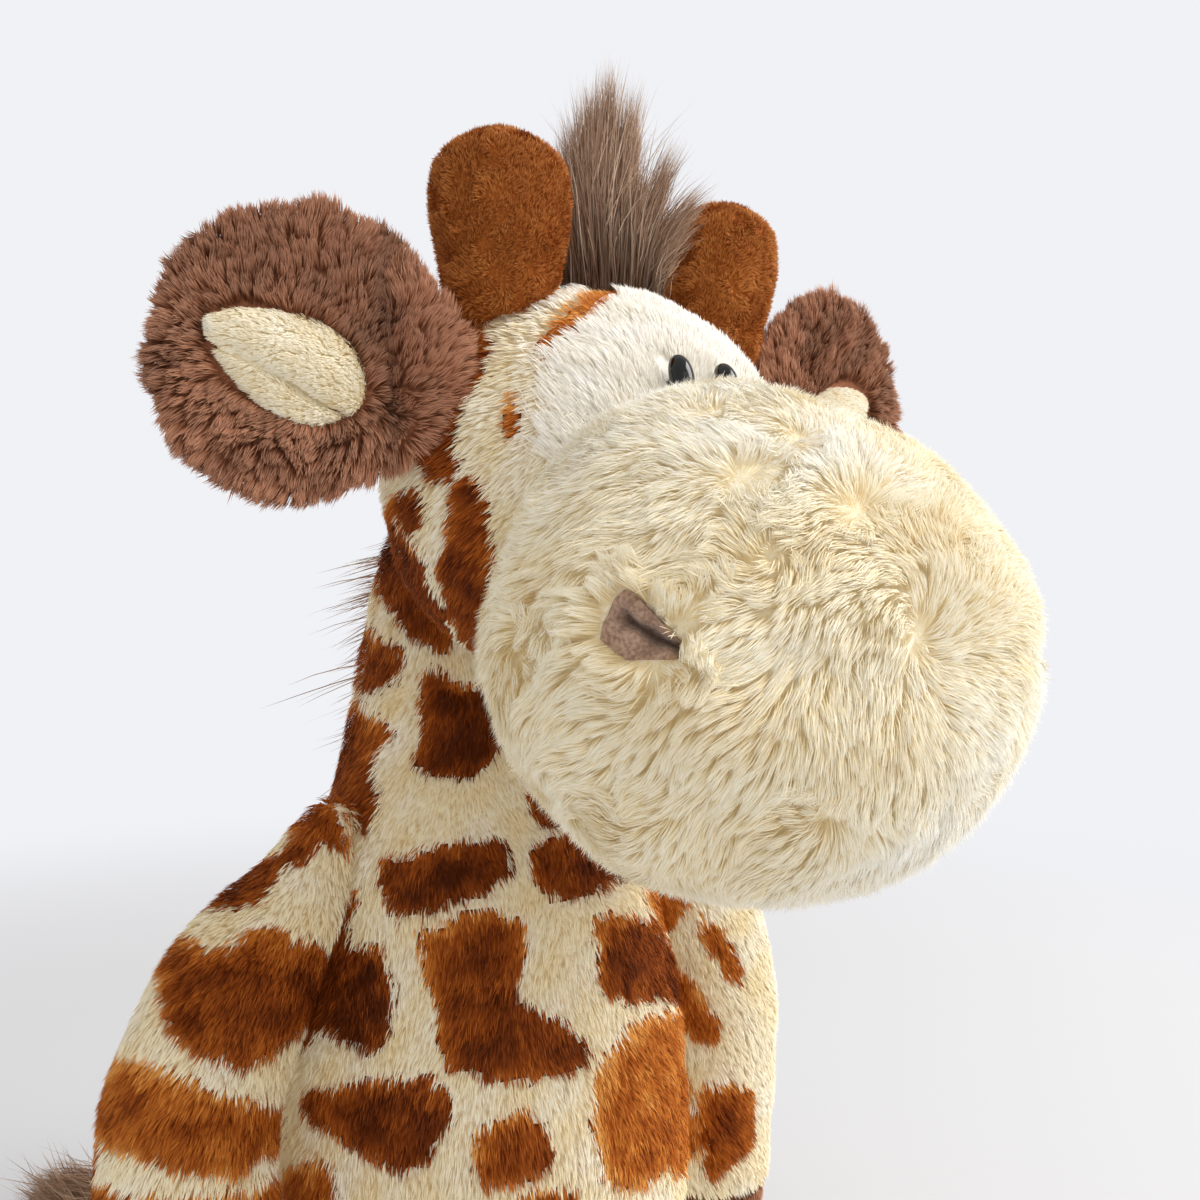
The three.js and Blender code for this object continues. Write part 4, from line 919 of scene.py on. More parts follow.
FELT_STAND_OFF, FELT_DEPTH, PINCH_DEPTH = -1.5, 4.0, 3.2
outline = NOSTRIL_OUTLINE
for side, sign in (("right", -1), ("left", 1)):
    middle, ahead = nostril_frame(sign)
    along = np.linspace(outline[:, 0].min() + 0.05, outline[:, 0].max() - 0.05, 60)[:, None]
    upper = np.interp(along, outline[:8, 0], outline[:8, 1])
    lower = np.interp(along, outline[[0, 9, 8, 7], 0], outline[[0, 9, 8, 7], 1])
    upper = np.maximum(upper, lower + 0.3)
    angle = np.linspace(0, 2 * np.pi, 72, endpoint=False)[None]
    up = (upper + lower) / 2 + (upper - lower) / 2 * np.cos(angle)
    crease_line = np.interp(along, [-7.4, -4.6, 2.0, 9.4], [2.6, 2.2, -1.6, -4.3])
    above = up - crease_line
    fold = np.exp(-(above / (1.2 + 0.4 * np.sin(along * 1.1))) ** 2) * np.clip((along + 6.5) / 3, 0, 1)
    lobes = 0.5 * np.exp(-((above - 3.0) / 2.2) ** 2) + 0.5 * np.exp(-((above + 2.6) / 2.0) ** 2)
    front = np.sin(angle) > 0
    proud = np.where(front, FELT_STAND_OFF + lobes - PINCH_DEPTH * fold, FELT_STAND_OFF - FELT_DEPTH)
    flat = middle + along[..., None] * ahead + up[..., None] * Z_WAY
    mesh = closed_mesh(f"nostril_felt_{side}", on_muzzle(flat, proud) @ HEAD_AXES.T + MUZZLE_PLACE)
    # The painted shade along the fold is stored as a number on each point of the felt.
    point_values(mesh, "crease", np.append((fold * front).ravel(), [0, 0]))
    add_piece(mesh, felt, "torso", [f"nostril_{side}"])


# Eyes: glossy black safety eyes, each a smooth oval dome on a stem that goes through the forehead
# to a washer inside the head.
gloss, surface, nodes = principled("black_gloss", {
    "Roughness": 0.12, "Specular IOR Level": 0.3, "Coat Roughness": 0.03})
haze = noise(nodes, 400.0)
haze_colour = haze.over(0.3, 0.7).blend(paint(0.02, 0.02, 0.022), paint(0.05, 0.045, 0.05))
nodes.feed(surface["Base Color"], haze_colour)
nodes.feed(surface["Coat Weight"], haze.over(0.2, 0.8, 0.4, 0.55))
EYE_STEM_RADIUS, EYE_STEM_END = 1.5, 11.6
eye_seat = (HEAD_HALVES[1] + 2.0) * np.cos(np.arcsin(EYE_RISE / HEAD_HALVES[2]))
for side, sign in (("right", -1), ("left", 1)):
    dome = np.linspace(0.03, 1, 24) * np.pi / 2
    reach = np.concatenate([-EYE_HALVES[1] * np.cos(dome), [0.5, 0.55], np.linspace(0.6, EYE_STEM_END, 8)])
    wide = np.concatenate([np.sin(dome) * EYE_HALVES[0], [2.7, 1.6], np.full(8, EYE_STEM_RADIUS)])
    high = np.concatenate([np.sin(dome) * EYE_HALVES[2], [5.3, 1.6], np.full(8, EYE_STEM_RADIUS)])
    rows = np.column_stack([np.zeros(34), reach, np.zeros(34), wide, high])
    grid = rings_round(rows, 48, X_WAY, Z_WAY) @ turn_about(0, EYE_TILT).T
    grid = from_head(grid + [sign * EYE_SPACING / 2, -eye_seat, EYE_RISE])
    add_piece(closed_mesh(f"eye_dome_{side}", grid), gloss, "torso", [f"eye_{side}"])

plastic, surface, nodes = principled("white_plastic", {"Roughness": 0.4})
nodes.feed(surface["Base Color"], noise(nodes, 300.0).over(0.3, 0.7).blend(
    paint(0.88, 0.88, 0.86), paint(0.94, 0.94, 0.92)))
for side in ("right", "left"):
    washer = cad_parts[f"eye_washer_{side}"]
    washer.data.materials.clear()
    washer.data.materials.append(plastic)


# Horns: two stuffed pegs of short rust plush that widen to a round top and lean a little apart.
RUST_STOPS = [(0.0, paint(0.55, 0.29, 0.11)), (0.5, paint(0.68, 0.39, 0.16)), (1.0, paint(0.82, 0.55, 0.29))]
rust = plush("rust_plush", RUST_STOPS, (0.7, 0.58, 0.45, 1.0), paint(0.88, 0.60, 0.34), 0.5)
HORN_SPACING, HORN_Y, HORN_TOP = 59.0, -6.0, 80.0
HORN_RADII = {"right": 16.4, "left": 14.8}
HORN_SHIFTS = {"right": [1.6, -2.6, -0.4], "left": [-1.0, -2.0, -2.8]}
VELVET_HEIGHT = 1.3
HORN_SPREAD = np.radians(4)
HORN_CORE_HEIGHT = 64.0
HORN_HAIRS = 26000
horn_rise_shares = [0.42, 0.58, 0.70, 0.81, 0.92, 1.0]
horn_girth_shares = [0.80, 0.86, 0.97, 1.02, 0.92, 0.66]


def tube(knots, rows, sides, across):
    """A stuffed tube along knots of centre, half width and half depth. Near each end the widths
    fall to nothing as a quarter circle; each ring is square to the path."""
    path = spline(knots, 240)
    steps = np.linalg.norm(np.diff(path[:, :3], axis=0), axis=1)
    distance = np.append(0, np.cumsum(steps))
    first, last = path[0, 3:].min(), path[-1, 3:].min()
    turn = np.linspace(0.08, 1, 9) * np.pi / 2
    girth = np.concatenate([np.sin(turn), np.ones(rows), np.sin(turn)[::-1]])
    stations = np.concatenate([
        first * (1 - np.cos(turn)), np.linspace(first, distance[-1] - last, rows + 2)[1:-1],
        distance[-1] - last * (1 - np.cos(turn[::-1]))])
    at = between(stations, distance, path)
    way = unit(between(stations, distance, np.gradient(path[:, :3], axis=0)))
    up = unit(np.cross(way, across))
    flat = np.cross(up, way)
    angle = np.linspace(0, 2 * np.pi, sides, endpoint=False)[None, :, None]
    return (at[:, None, :3] + flat[:, None] * (at[:, 3] * girth)[:, None, None] * np.cos(angle)
            + up[:, None] * (at[:, 4] * girth)[:, None, None] * np.sin(angle)), way


for seed, (side, sign) in enumerate((("right", -1), ("left", 1))):
    draw = np.random.default_rng(20 + seed)
    lean = sign * HORN_SPREAD
    knots = [[np.sin(lean) * HORN_TOP * rise, 0, np.cos(lean) * HORN_TOP * rise,
              *[HORN_RADII[side] * girth - VELVET_HEIGHT] * 2]
             for rise, girth in zip(horn_rise_shares, horn_girth_shares)]
    knots[0][0], knots[0][2] = knots[0][0] * 0.95, knots[0][2] * 0.95
    grid, _ = tube(knots, 34, 64, X_WAY)
    foot = np.array([sign * HORN_SPACING / 2, HORN_Y, 0]) + HORN_SHIFTS[side]
    grid = from_head(grid + foot)
    core = from_head(foot + [np.sin(lean) * HORN_CORE_HEIGHT, 0, HORN_CORE_HEIGHT])
    normals_grid = ring_normals(grid)
    grid = pressed(grid, core, lambda p: in_ball(p, HEAD_PLACE, HEAD_HALVES, 0.4))
    skin(f"horn_{side}", grid, 0.4, rust, "torso")
    points, normals = roots(grid, normals_grid, HORN_HAIRS, draw)
    keep = ~in_ball(points + normals * 0.5, HEAD_PLACE, HEAD_HALVES, -1.0)
    points, normals = only(keep, points, normals)
    comb = 0.6 * HEAD_AXES[:, 2] + ripples(points, 7, 81)
    # The left horn's pile is painted lighter than the right one's: painted light, for the more brightly lit
    # horn.
    shade = uneven(points, 0.52 + 0.1 * sign, [(0.16, 11, 84), (0.05, 3, 85)], 0.12, draw)
    pile(f"horn_{side}_pile", points, normals, comb, 2.5, 0.8, 0.28, shade, rust, "torso", draw,
         lock=1.6, pull=0.3, stray=0.3)


# Ears: broad flat pads of brown plush, cupped towards the front, each with a lining of cream plush
# let into its front.
EAR_ROOT = np.array([41.0, -13.0, 18.0])
EAR_LENGTH, EAR_HALF_HEIGHT, EAR_HALF_THICKNESS = 68.0, 32.5, 6.0
ear_shares = np.array([
    [0, 0.34, 1], [0.1, 0.5, 1], [0.25, 0.79, 1], [0.45, 1, 0.9], [0.65, 0.98, 0.85],
    [0.82, 0.82, 0.8], [0.93, 0.58, 0.75], [1, 0.34, 0.7]])
EAR_PILE_HEIGHT = 2.6
LINING_HALF_LENGTH, LINING_HALF_HEIGHT, LINING_THICKNESS = 17.8, 10.2, 2.6
LINING_TURN = np.radians(-14)
EAR_HAIRS, LINING_HAIRS = 52000, 24000


def fold_out(rise):
    """How far out an ear is folded, at heights across it: straight lines between five places."""
    return np.interp(rise, [-26, -10, 6, 18, 32], [13, 15, 20, 24, 26])


for seed, (side, sign, lift_degrees, drop, turn_back, sink, plump) in enumerate((
        ("right", -1, 10, 3.0, 16, 2.2, 1.6), ("left", 1, 17, 0.0, 12, 4.4, 0.4))):
    draw = np.random.default_rng(30 + seed)
    body = f"{side}_ear"
    lean = -sign * np.radians(lift_degrees)
    sweep = sign * np.radians(turn_back)
    ear_axes = HEAD_AXES @ turn_about(2, sweep) @ turn_about(1, lean)
    root = from_head(EAR_ROOT * [sign, 1, 1] - [0, 0, drop])
    knots = np.column_stack([
        sign * (EAR_LENGTH - EAR_PILE_HEIGHT) * ear_shares[:, 0], np.zeros((8, 2)),
        EAR_HALF_THICKNESS * ear_shares[:, 2] - 1.4, (EAR_HALF_HEIGHT - EAR_PILE_HEIGHT) * ear_shares[:, 1]])
    grid, _ = tube(knots, 66, 120, Y_WAY)
    across = np.abs(grid[..., :1])
    grid[..., 2:3] *= 1 - 0.3 * (grid[..., 2:3] < 0) * np.clip(1 - across / 34, 0, 1)
    rim = (grid[..., 2:3] / EAR_HALF_HEIGHT) ** 2
    far = np.clip(across / EAR_LENGTH, 0, 1)
    front = np.clip(-grid[..., 1:2] / EAR_HALF_THICKNESS, 0, 1)
    dish = np.clip(1 - ((across - 41) / 27) ** 2 - (grid[..., 2:3] / 20) ** 2, 0, 1)
    fold_at = fold_out(grid[..., 2:3])
    fold = np.exp(-((across - fold_at) / 2.6) ** 2)
    root_lobe = np.exp(-((across - fold_at + 9) / 7) ** 2)
    grid = grid + Y_WAY * (
        2.6 * front * np.sqrt(dish) - 4.0 * rim * far + 3.8 * fold * front - 1.8 * root_lobe * front)
    grid_normals = ring_normals(grid)
    grid, grid_normals = grid @ ear_axes.T + root, grid_normals @ ear_axes.T
    skin(f"ear_{side}", grid, 0.5, brown, body)

    lining_middle = np.array([
        sign * (0.555 - 0.025 * sign) * EAR_LENGTH, -0.9 * EAR_HALF_THICKNESS + sink, -3.0])
    lining_axes = turn_about(1, sign * LINING_TURN)
    points, normals = roots(grid, grid_normals, EAR_HAIRS, draw)
    local = (points - root) @ ear_axes
    on_lining = (local - lining_middle) @ lining_axes
    gap = (on_lining[:, 0] / LINING_HALF_LENGTH) ** 2 + (on_lining[:, 2] / LINING_HALF_HEIGHT) ** 2
    facing = normals @ ear_axes[:, 1] < 0.1
    keep = ~((gap < 0.92) & facing) & ~in_ball(points, HEAD_PLACE, HEAD_HALVES, -2.5)
    points, normals, local, on_lining, facing = only(keep, points, normals, local, on_lining, facing)
    outwards = unit(on_lining * [1 / LINING_HALF_LENGTH, 0, 1.6 / LINING_HALF_HEIGHT]) @ lining_axes.T
    plain_way = X_WAY * sign + Z_WAY * 0.03 * local[:, 2:3]
    comb = np.where(facing[:, None], outwards + 0.25 * plain_way, plain_way) @ ear_axes.T
    comb = comb + 0.32 * ripples(points, 16, 91)
    root_side = np.clip((24 - np.abs(local[:, 0])) / 14, 0, 1)
    in_fold = np.abs(np.abs(local[:, 0]) - fold_out(local[:, 2]))
    shade = 0.4 + 0.26 * root_side + 0.18 * ripple(points, 12, 94) + draw.normal(size=len(points)) * 0.16
    from_middle = np.hypot((np.abs(local[:, 0]) - 0.56 * EAR_LENGTH) / 30, local[:, 2] / 29)
    at_rim = np.clip((from_middle - 0.75) / 0.25, 0, 1)
    # Hairs on the front of the ear's fold are painted darker: painted shade in the fold.
    shade = np.clip(shade - 0.45 * np.exp(-(in_fold / 2.4) ** 2) * facing + 0.2 * at_rim, 0, 1)
    long = 5.4 + 0.9 * ripple(points, 6, 89) + 1.8 * at_rim * draw.random(len(points))
    pile(f"ear_{side}_pile", points, normals, comb, long, 0.66 + 0.22 * ripple(points, 9, 95), 0.3,
         shade, brown, body, draw, lock=2.8, pull=0.5, stray=0.16)

    rise = np.linspace(-np.pi / 2, np.pi / 2, 62)[1:-1]
    rows = np.column_stack([
        LINING_HALF_LENGTH * np.sin(rise), np.zeros((60, 2)), LINING_THICKNESS * np.cos(rise),
        LINING_HALF_HEIGHT * np.cos(rise) ** 1.25 * (1 - 0.34 * sign * np.sin(rise))])
    grid = rings_round(rows, 96, Y_WAY, Z_WAY)
    share = grid[..., 2:3] / LINING_HALF_HEIGHT
    fold_at = -0.36 + 0.08 * np.sin(grid[..., :1] * sign / 6)
    along = grid[..., :1] / LINING_HALF_LENGTH
    fold = np.exp(-((share - fold_at) / 0.09) ** 2) * np.clip(0.75 - along * sign, 0, 1)
    lobe = np.clip(1 - ((share - 0.22) / 0.6) ** 2, 0, 1) * np.clip(1 - along ** 2, 0, 1)
    grid = grid + Y_WAY * (grid[..., 1:2] < 0) * (2.2 * fold - plump * lobe)
    grid_normals = ring_normals(grid)
    spread = (grid @ lining_axes.T + lining_middle) @ ear_axes.T + root
    grid_normals = grid_normals @ lining_axes.T @ ear_axes.T
    skin(f"ear_lining_{side}", spread, 0.3, cream, body)
    points, normals = roots(spread, grid_normals, LINING_HAIRS, draw)
    local = ((points - root) @ ear_axes - lining_middle) @ lining_axes
    folded = np.abs(local[:, 2] / LINING_HALF_HEIGHT + 0.36) < 0.05
    points, normals = only((normals @ ear_axes[:, 1] < -0.05) & ~folded, points, normals)
    comb = ear_axes @ np.array([sign, 0, -0.3]) + 0.3 * ripples(points, 12, 96)
    shade = uneven(points, 0.38, [(0.16, 8, 99)], 0.1, draw)
    pile(f"ear_lining_{side}_pile", points, normals, comb, 2.2, 0.5, 0.3, shade, cream, body, draw,
         lock=2.0, pull=0.3)


# Hair: long grey-brown strands sewn into the seam on top of the head between the horns, and in a
# row down the back of the head and neck as the mane.
HAIR_STOPS = [(0.0, paint(0.50, 0.38, 0.30)), (0.5, paint(0.72, 0.59, 0.49)), (1.0, paint(0.91, 0.81, 0.71))]
_, hair_finish, hair_slot = plush("long_hair", HAIR_STOPS, (0.30, 0.24, 0.20, 1.0), glow=0.03,
                                  roughness=0.45, specular=0.4)


def strands(name, starts, ways, tips, width, shade, body, nodes, draw, wave=2.0):
    """Long hairs: each follows a cubic curve that leaves its start along its way and bends to its
    tip, with a slow wave, as a blade of six parts that narrows to a point."""
    count = len(starts)
    t = np.linspace(0, 1, 7)[None, :, None]
    reach = np.linalg.norm(tips - starts, axis=-1, keepdims=True)
    bend = starts + unit(ways) * reach * 0.5
    path = ((1 - t) ** 2 * starts[:, None] + 2 * t * (1 - t) * bend[:, None] + t ** 2 * tips[:, None])
    phase = draw.uniform(0, 2 * np.pi, (count, 1, 1))
    drift = unit(draw.normal(size=(count, 1, 3)))
    path = path + drift * wave * t * np.sin(t * 5 + phase)
    along = np.gradient(path, axis=1)
    side = unit(np.cross(along, unit(draw.normal(size=(count, 1, 3)))))
    thin = np.array([1, 1, 0.95, 0.85, 0.7, 0.45])[None, :, None] * width / 2
    left, right = path[:, :6] - side[:, :6] * thin, path[:, :6] + side[:, :6] * thin
    blades = np.concatenate([left, right, path[:, 6:]], axis=1)
    blades[..., 2] = np.maximum(blades[..., 2], 0.25)
    ladder = np.array([[k, k + 6, k + 7, k, k + 7, k + 1] for k in range(5)]).ravel()
    corners = np.arange(count)[:, None] * 13 + np.append(ladder, [5, 11, 12])
    places = np.append(np.arange(12) % 6 / 6, 1.0)
    sides = np.append(np.repeat([-1, 1], 6), 0) * 0.0012
    local = np.append(ladder, [5, 11, 12])
    uv = np.stack([np.clip(shade, 0.004, 0.996)[:, None] + sides[local],
                   np.broadcast_to(places[local], (count, len(local)))], axis=-1)
    mesh = raw_mesh(name, blades.reshape(-1, 3), corners.ravel(), np.full(count * 11, 3), uv.reshape(-1, 2))
    add_piece(mesh, hair_finish, body, nodes)


draw = np.random.default_rng(40)
TUFT_LOCKS = [
    (-10, 583, 285, 558, 140, 8, 420), (-8, 588, 285, 574, 112, 9, 560), (-5, 596, 285, 590, 84, 9, 700),
    (-3, 604, 285, 610, 62, 8, 620), (0, 612, 285, 636, 84, 8, 560), (2, 620, 285, 634, 124, 9, 700),
    (4, 630, 290, 650, 168, 8, 560), (6, 640, 290, 678, 142, 8, 440), (8, 650, 290, 706, 184, 9, 420),
    (9, 655, 292, 690, 222, 9, 480), (10, 655, 294, 670, 254, 8, 360), (-4, 598, 285, 612, 120, 30, 420)]
TUFT_DEPTH = 297.0
starts, tips, leans = [], [], []
for near_x, root_right, root_down, tip_right, tip_down, blur, count in TUFT_LOCKS:
    at = from_head(np.array([near_x, HORN_Y - 1.5, 46.5]))
    starts.append(at + (draw.normal(size=(count, 3)) * [1.5, 2.6, 0.5]) @ HEAD_AXES.T)
    tip = CAMERA_PLACE + TUFT_DEPTH * sight(tip_right, tip_down)
    tip = tip + draw.normal(size=(count, 3)) * blur * 0.25 * np.array([1, 1.2, 0.8])
    reach = np.where(draw.random((count, 1)) < 0.5, 1 - 0.3 * draw.random((count, 1)) ** 2,
                     draw.uniform(0.5, 0.95, (count, 1)))
    tips.append(starts[-1] + (tip - starts[-1]) * reach)
    leans.append(np.tile(tip.mean(axis=0) - at, (count, 1)))
starts, tips, leans = np.vstack(starts), np.vstack(tips), np.vstack(leans)
shade = uneven(starts, 0.48, [(0.2, 3, 84)], 0.18, draw)
ways = leans * [0.25, 0.25, 1] + draw.normal(size=(len(starts), 3)) * 3
strands("hair_tuft_strands", starts, ways, tips, 0.28, shade, "torso", ["hair_tuft"], draw, 1.6)

MANE_HAIRS, MANE_STEPS, MANE_NECK_STEP = 4400, 200, 95
mane_angle = np.array([0.28, 0.5, 0.75, 1.0]) * np.pi / 2
mane_head = from_head(np.column_stack([
    np.zeros(4), HEAD_HALVES[1] * np.sin(mane_angle), HEAD_HALVES[2] * np.cos(mane_angle)]))
mane_heights = np.array([0.85, 0.77, 0.7, 0.63]) * (BODY_HEIGHT - BODY_BOTTOM) + BODY_BOTTOM
mane_neck = np.column_stack([
    np.interp(mane_heights, body_rows[:, 2], body_rows[:, 0]),
    np.interp(mane_heights, body_rows[:, 2], body_rows[:, 1] + body_rows[:, 4]), mane_heights])
mane_line = spline(np.vstack([mane_head, mane_neck]), MANE_STEPS)
steps = np.arange(MANE_STEPS)
at = draw.uniform(0, MANE_STEPS - 1, MANE_HAIRS)
starts = between(at, steps, mane_line)
way = np.gradient(mane_line, axis=0)
out = unit(np.cross(np.broadcast_to(X_WAY, way.shape), way))
out = out * np.sign((out * [0, 1, 0.3]).sum(-1, keepdims=True))
outs, falls = between(at, steps, out), between(at, steps, unit(way))
starts = starts + draw.normal(size=starts.shape) * [1.6, 0.4, 0.4]
on_neck = at[:, None] > MANE_NECK_STEP
lean = np.where(draw.random(on_neck.shape) < 0.65, -1, 1) * np.abs(draw.normal(size=on_neck.shape))
lean = lean * (5 + 5 * on_neck)
length = draw.uniform(11, 19, on_neck.shape) + 7 * on_neck
ways = outs + falls * 0.3 + draw.normal(size=starts.shape) * 0.15
tips = starts + unit(ways) * length * 0.8 + falls * length * 0.45 + X_WAY * lean
tips = tips + draw.normal(size=starts.shape) * 1.2
shade = uneven(starts, 0.5, [], 0.22, draw)
strands("mane_strands", starts, ways, tips, 0.46, shade, "torso", ["mane"], draw, 1.6)


# Arms: stuffed tubes of spotted plush that hang from the shoulders, each with a brown hoof-like
# hand below. The arm gives way to the body that it rests against, and its hairs lie flat there.
SHOULDER = np.array([50.0, -9.0, 140.0])
ARM_FLOOR_GAP, HAND_LENGTH, ARM_HALF_WIDTH = 4.4, 27.5, 20.5
ARM_HAIRS, HAND_HAIRS = 55000, 12000
LAID_PILE, LAID_LIFT = 2.4, 0.03
arm_shares = np.array([
    [-0.22, 0.1, 0.3], [-0.05, 0.035, 0.47], [0.17, -0.065, 0.68], [0.6, -0.2, 0.93],
    [0.94, -0.384, 1.02], [1, -0.608, 1.04], [0.98, -0.793, 1.08], [0.92, -1, 1.02]])
for seed, (side, sign, reach, set_back) in enumerate((("right", -1, 31.0, 0), ("left", 1, 25.0, 8))):
    draw = np.random.default_rng(50 + seed)
    body = f"{side}_arm"
    drop = SHOULDER[2] - ARM_FLOOR_GAP
    back = np.radians(set_back)
    knots = np.column_stack([sign * reach * arm_shares[:, 0], -drop * arm_shares[:, 1] * np.sin(back),
                             drop * arm_shares[:, 1] * np.cos(back),
                             *[ARM_HALF_WIDTH * arm_shares[:, 2] - PILE_HEIGHT] * 2])
    knots[:, :3] += SHOULDER * [sign, 1, 1]
    grid, _ = tube(knots, 70, 90, X_WAY)
    grid_normals = ring_normals(grid)
    middle = grid.mean(axis=1, keepdims=True)
    outer = middle + X_WAY * sign * 6
    grid = pressed(grid, outer, lambda p: in_body(p, 0.5))
    wrist = int(np.abs(grid[..., 2].mean(axis=1) - ARM_FLOOR_GAP - HAND_LENGTH).argmin())
    arm_grid, hand_grid = grid[:wrist], grid[wrist:]
    arm_normals, hand_normals = grid_normals[:wrist], grid_normals[wrist:]
    spots = patches_on(arm_grid, arm_normals, SEEN_PATCHES, draw, 34, (12, 18))
    skin(f"arm_{side}", arm_grid, patched(arm_grid, arm_normals, spots, draw), spotted, body)
    skin(f"hand_{side}", hand_grid, 0.35, brown, body)
    points, normals = roots(arm_grid, arm_normals, ARM_HAIRS, draw)
    laid = in_body(points + normals * 2.4, 0.2)
    points, normals, laid = only(~laid | (draw.random(len(points)) < 0.4), points, normals, laid)
    comb = downwards(points, sign * 0.45 + 0.2 * ripple(points, 40, 101), 0.2 * ripple(points, 40, 102))
    shade = patched(points + unit(comb) * 0.5 * SHORT_PILE, normals, spots, draw)
    pile(f"arm_{side}_pile", points, normals, comb, np.where(laid, LAID_PILE, SHORT_PILE),
         np.where(laid, LAID_LIFT, 0.5 + 0.14 * ripple(points, 22, 103)), 0.36, shade, spotted, body, draw)
    points, normals = roots(hand_grid, hand_normals, HAND_HAIRS, draw)
    laid = in_body(points + normals, 0.6)
    comb = downwards(points, 0.25 * ripple(points, 30, 104), 0.25 * ripple(points, 30, 105))
    shade = uneven(points, 0.35, [(0.2, 14, 106)], 0.12, draw)
    pile(f"hand_{side}_pile", points, normals, comb, np.where(laid, LAID_PILE, SHORT_PILE - 0.2),
         np.where(laid, LAID_LIFT, 0.5), 0.42, shade, brown, body, draw)


# Legs: stuffed tubes of spotted plush that lie forward on the floor, each with a brown foot and a
# round felt sole on its flat front.
HIP = np.array([30.0, -34.0, 0.0])
LEG_LENGTH, LEG_RADIUS, LEG_FLOOR_GAP = 118.0, 20.5, 0.5
LEG_SPREAD = np.radians(9)
FOOT_LENGTH, TOE_ROUND, SOLE_RADIUS, SOLE_THICKNESS = 30.0, 4.0, 17.0, 1.6
LEG_HAIRS, FOOT_HAIRS = 27000, 12000
leg_shares = np.array([[-0.16, 0.8], [0.1, 0.95], [0.35, 1], [0.6, 0.97], [0.8, 1.04], [1, 1.1]])
sole_profile = np.array([
    [0.3, 0.0], [0.8, 0.05], [0.97, 0.3], [1.0, 0.9], [0.97, 1.4], [0.8, 1.75], [0.3, 1.9]])


def on_base(points):
    """Whether points lie in the base panel or just above it."""
    return (points[..., 2] < 2.6) & (np.hypot(points[..., 0], points[..., 1]) < BASE_RADIUS + 0.4)


for seed, (side, sign) in enumerate((("right", -1), ("left", 1))):
    draw = np.random.default_rng(60 + seed)
    body = f"{side}_leg"
    leg_axes = turn_about(2, sign * LEG_SPREAD)
    hip = HIP * [sign, 1, 1]
    knots = np.column_stack([
        np.zeros(6), -LEG_LENGTH * leg_shares[:, 0], LEG_FLOOR_GAP + LEG_RADIUS * leg_shares[:, 1],
        *[LEG_RADIUS * leg_shares[:, 1] - PILE_HEIGHT + 0.4] * 2])
    grid, _ = tube(knots, 70, 90, X_WAY)
    toe = LEG_LENGTH - TOE_ROUND - 1.0
    grid[..., 1] = np.maximum(grid[..., 1], -toe)
    grid_normals = ring_normals(grid)
    front = grid[..., 1] <= -toe + 0.01
    grid_normals = np.where(front[..., None], -Y_WAY, grid_normals)
    ankle = int(np.abs(grid[..., 1].mean(axis=1) + LEG_LENGTH - FOOT_LENGTH).argmin())
    grid, grid_normals = grid @ leg_axes.T + hip, grid_normals @ leg_axes.T
    core = np.array([0, -0.4 * LEG_LENGTH, LEG_RADIUS]) @ leg_axes.T + hip
    grid = pressed(grid, core, lambda p: in_body(p, 0.5) | on_base(p))
    leg_grid, foot_grid = grid[:ankle], grid[ankle:]
    leg_normals, foot_normals = grid_normals[:ankle], grid_normals[ankle:]
    spots = patches_on(leg_grid, leg_normals, [], draw, 34, (11, 16))
    skin(f"leg_{side}", leg_grid, patched(leg_grid, leg_normals, spots, draw), spotted, body)
    skin(f"foot_{side}", foot_grid, 0.35, brown, body)
    way_out = leg_axes @ -Y_WAY
    for label, part, part_normals, count in (("leg", leg_grid, leg_normals, LEG_HAIRS),
                                             ("foot", foot_grid, foot_normals, FOOT_HAIRS)):
        points, normals = roots(part, part_normals, count, draw)
        on_front = ((points - hip) @ leg_axes)[:, [0, 2]]
        sole_gap = np.linalg.norm(on_front - [0, LEG_FLOOR_GAP + LEG_RADIUS], axis=1)
        keep = ~in_body(points + normals, 0.6) & ~((normals @ way_out > 0.9) & (sole_gap < SOLE_RADIUS))
        points, normals = only(keep, points, normals)
        comb = way_out + 0.25 * (ripples(points, 35, 111) - 0.6 * Z_WAY)
        if label == "leg":
            shade, kind = patched(points, normals, spots, draw), spotted
        else:
            shade, kind = uneven(points, 0.35, [(0.2, 14, 114)], 0.12, draw), brown
        pile(f"{label}_{side}_pile", points, normals, comb, SHORT_PILE - 0.4,
             0.5 + 0.14 * ripple(points, 20, 115), 0.44, shade, kind, body, draw)
    rows = np.column_stack([
        np.zeros(7), -toe - 0.3 - sole_profile[:, 1] * SOLE_THICKNESS / sole_profile[-1, 1],
        np.full(7, LEG_FLOOR_GAP + LEG_RADIUS), SOLE_RADIUS * sole_profile[:, [0, 0]]])
    grid = rings_round(rows, 72, X_WAY, Z_WAY) @ leg_axes.T + hip
    add_piece(closed_mesh(f"sole_{side}_felt", grid), felt, body, [f"sole_{side}"])


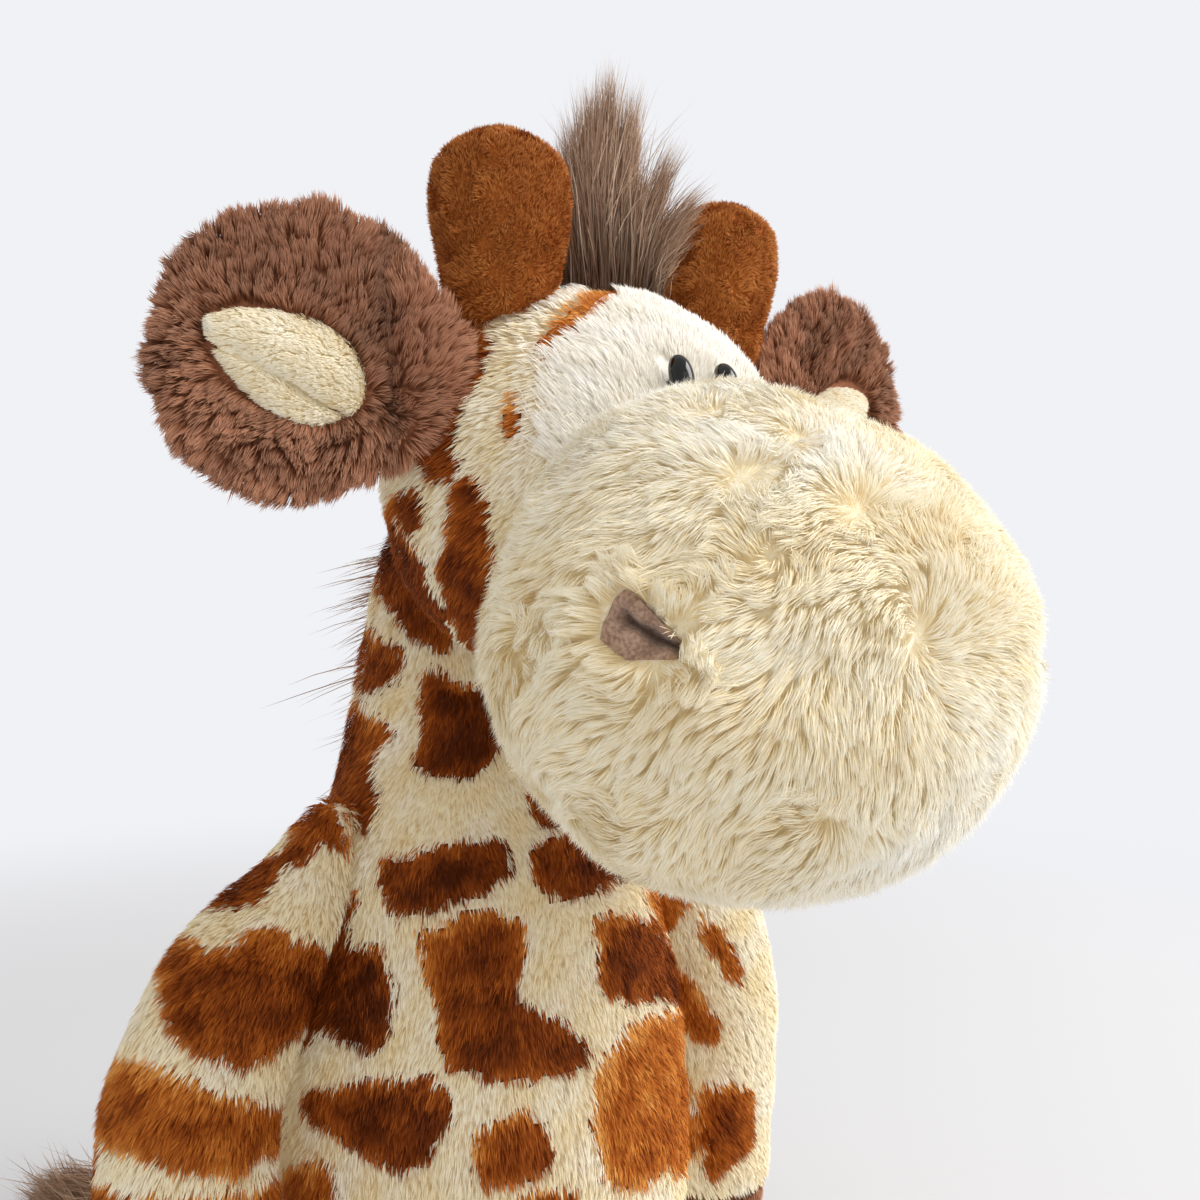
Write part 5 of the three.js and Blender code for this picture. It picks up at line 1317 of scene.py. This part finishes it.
# Tail: a thin stuffed cord of cream plush that turns to the giraffe's right on the floor and ends
# in a tuft of long hair.
TAIL_ROOT = np.array([0.0, 56.0, 17.0])
TAIL_RADIUS, TAIL_FLOOR_GAP = 5.0, 1.0
TAIL_REACH = np.array([84.0, 49.0])
TAIL_HAIRS, BRUSH_HAIRS = 14000, 2800
tail_shares = np.array([[0, -0.14, 1], [-0.05, 0.25, 0.7], [-0.2, 0.7, 0.2], [-0.5, 0.97, 0], [-0.8, 1, 0],
                        [-1, 0.97, 0.1]])
tail_kind = (*spotted[:2], "cream_plush")
tail_low = TAIL_FLOOR_GAP + TAIL_RADIUS
draw = np.random.default_rng(70)
knots = np.column_stack([
    TAIL_REACH[0] * tail_shares[:, 0], TAIL_ROOT[1] + TAIL_REACH[1] * tail_shares[:, 1],
    tail_low + (TAIL_ROOT[2] - tail_low) * tail_shares[:, 2], np.full((6, 2), TAIL_RADIUS)])
grid, way = tube(knots, 90, 36, Z_WAY)
grid_normals = ring_normals(grid)
grid = pressed(grid, knots[1, :3], lambda p: in_body(p, 0.5))
skin("tail", grid, 0.25, tail_kind, "tail")
points, normals = roots(grid, grid_normals, TAIL_HAIRS, draw)
nearest = np.abs(points[:, None, 0] - grid.mean(axis=1)[None, :, 0]).argmin(axis=1)
comb = way[nearest] + 0.2 * ripples(points, 20, 121)
keep = ~in_body(points, 0.6)
shade = np.clip(0.25 + draw.normal(size=len(points)) * 0.05, 0.02, 0.44)
pile("tail_pile", points[keep], normals[keep], comb[keep], 4.2, 0.5, 0.3, shade[keep], tail_kind, "tail",
     draw)
BRUSH_PLACE, BRUSH_REACH = np.array([-72.0, 105.0, 7.5]), np.array([-27.0, 0.0, 14.0])
starts = BRUSH_PLACE + draw.normal(size=(BRUSH_HAIRS, 3)) * [2.5, 1.8, 1.8]
tips = BRUSH_PLACE + BRUSH_REACH + draw.normal(size=starts.shape) * [5.0, 4.6, 4.6]
ways = np.array([-1.0, 0.0, 0.25]) + draw.normal(size=starts.shape) * 0.45
shade = uneven(starts, 0.5, [], 0.22, draw)
strands("tail_tuft_strands", starts, ways, tips, 0.55, shade, "tail", ["tail_tuft"], draw, 1.4)
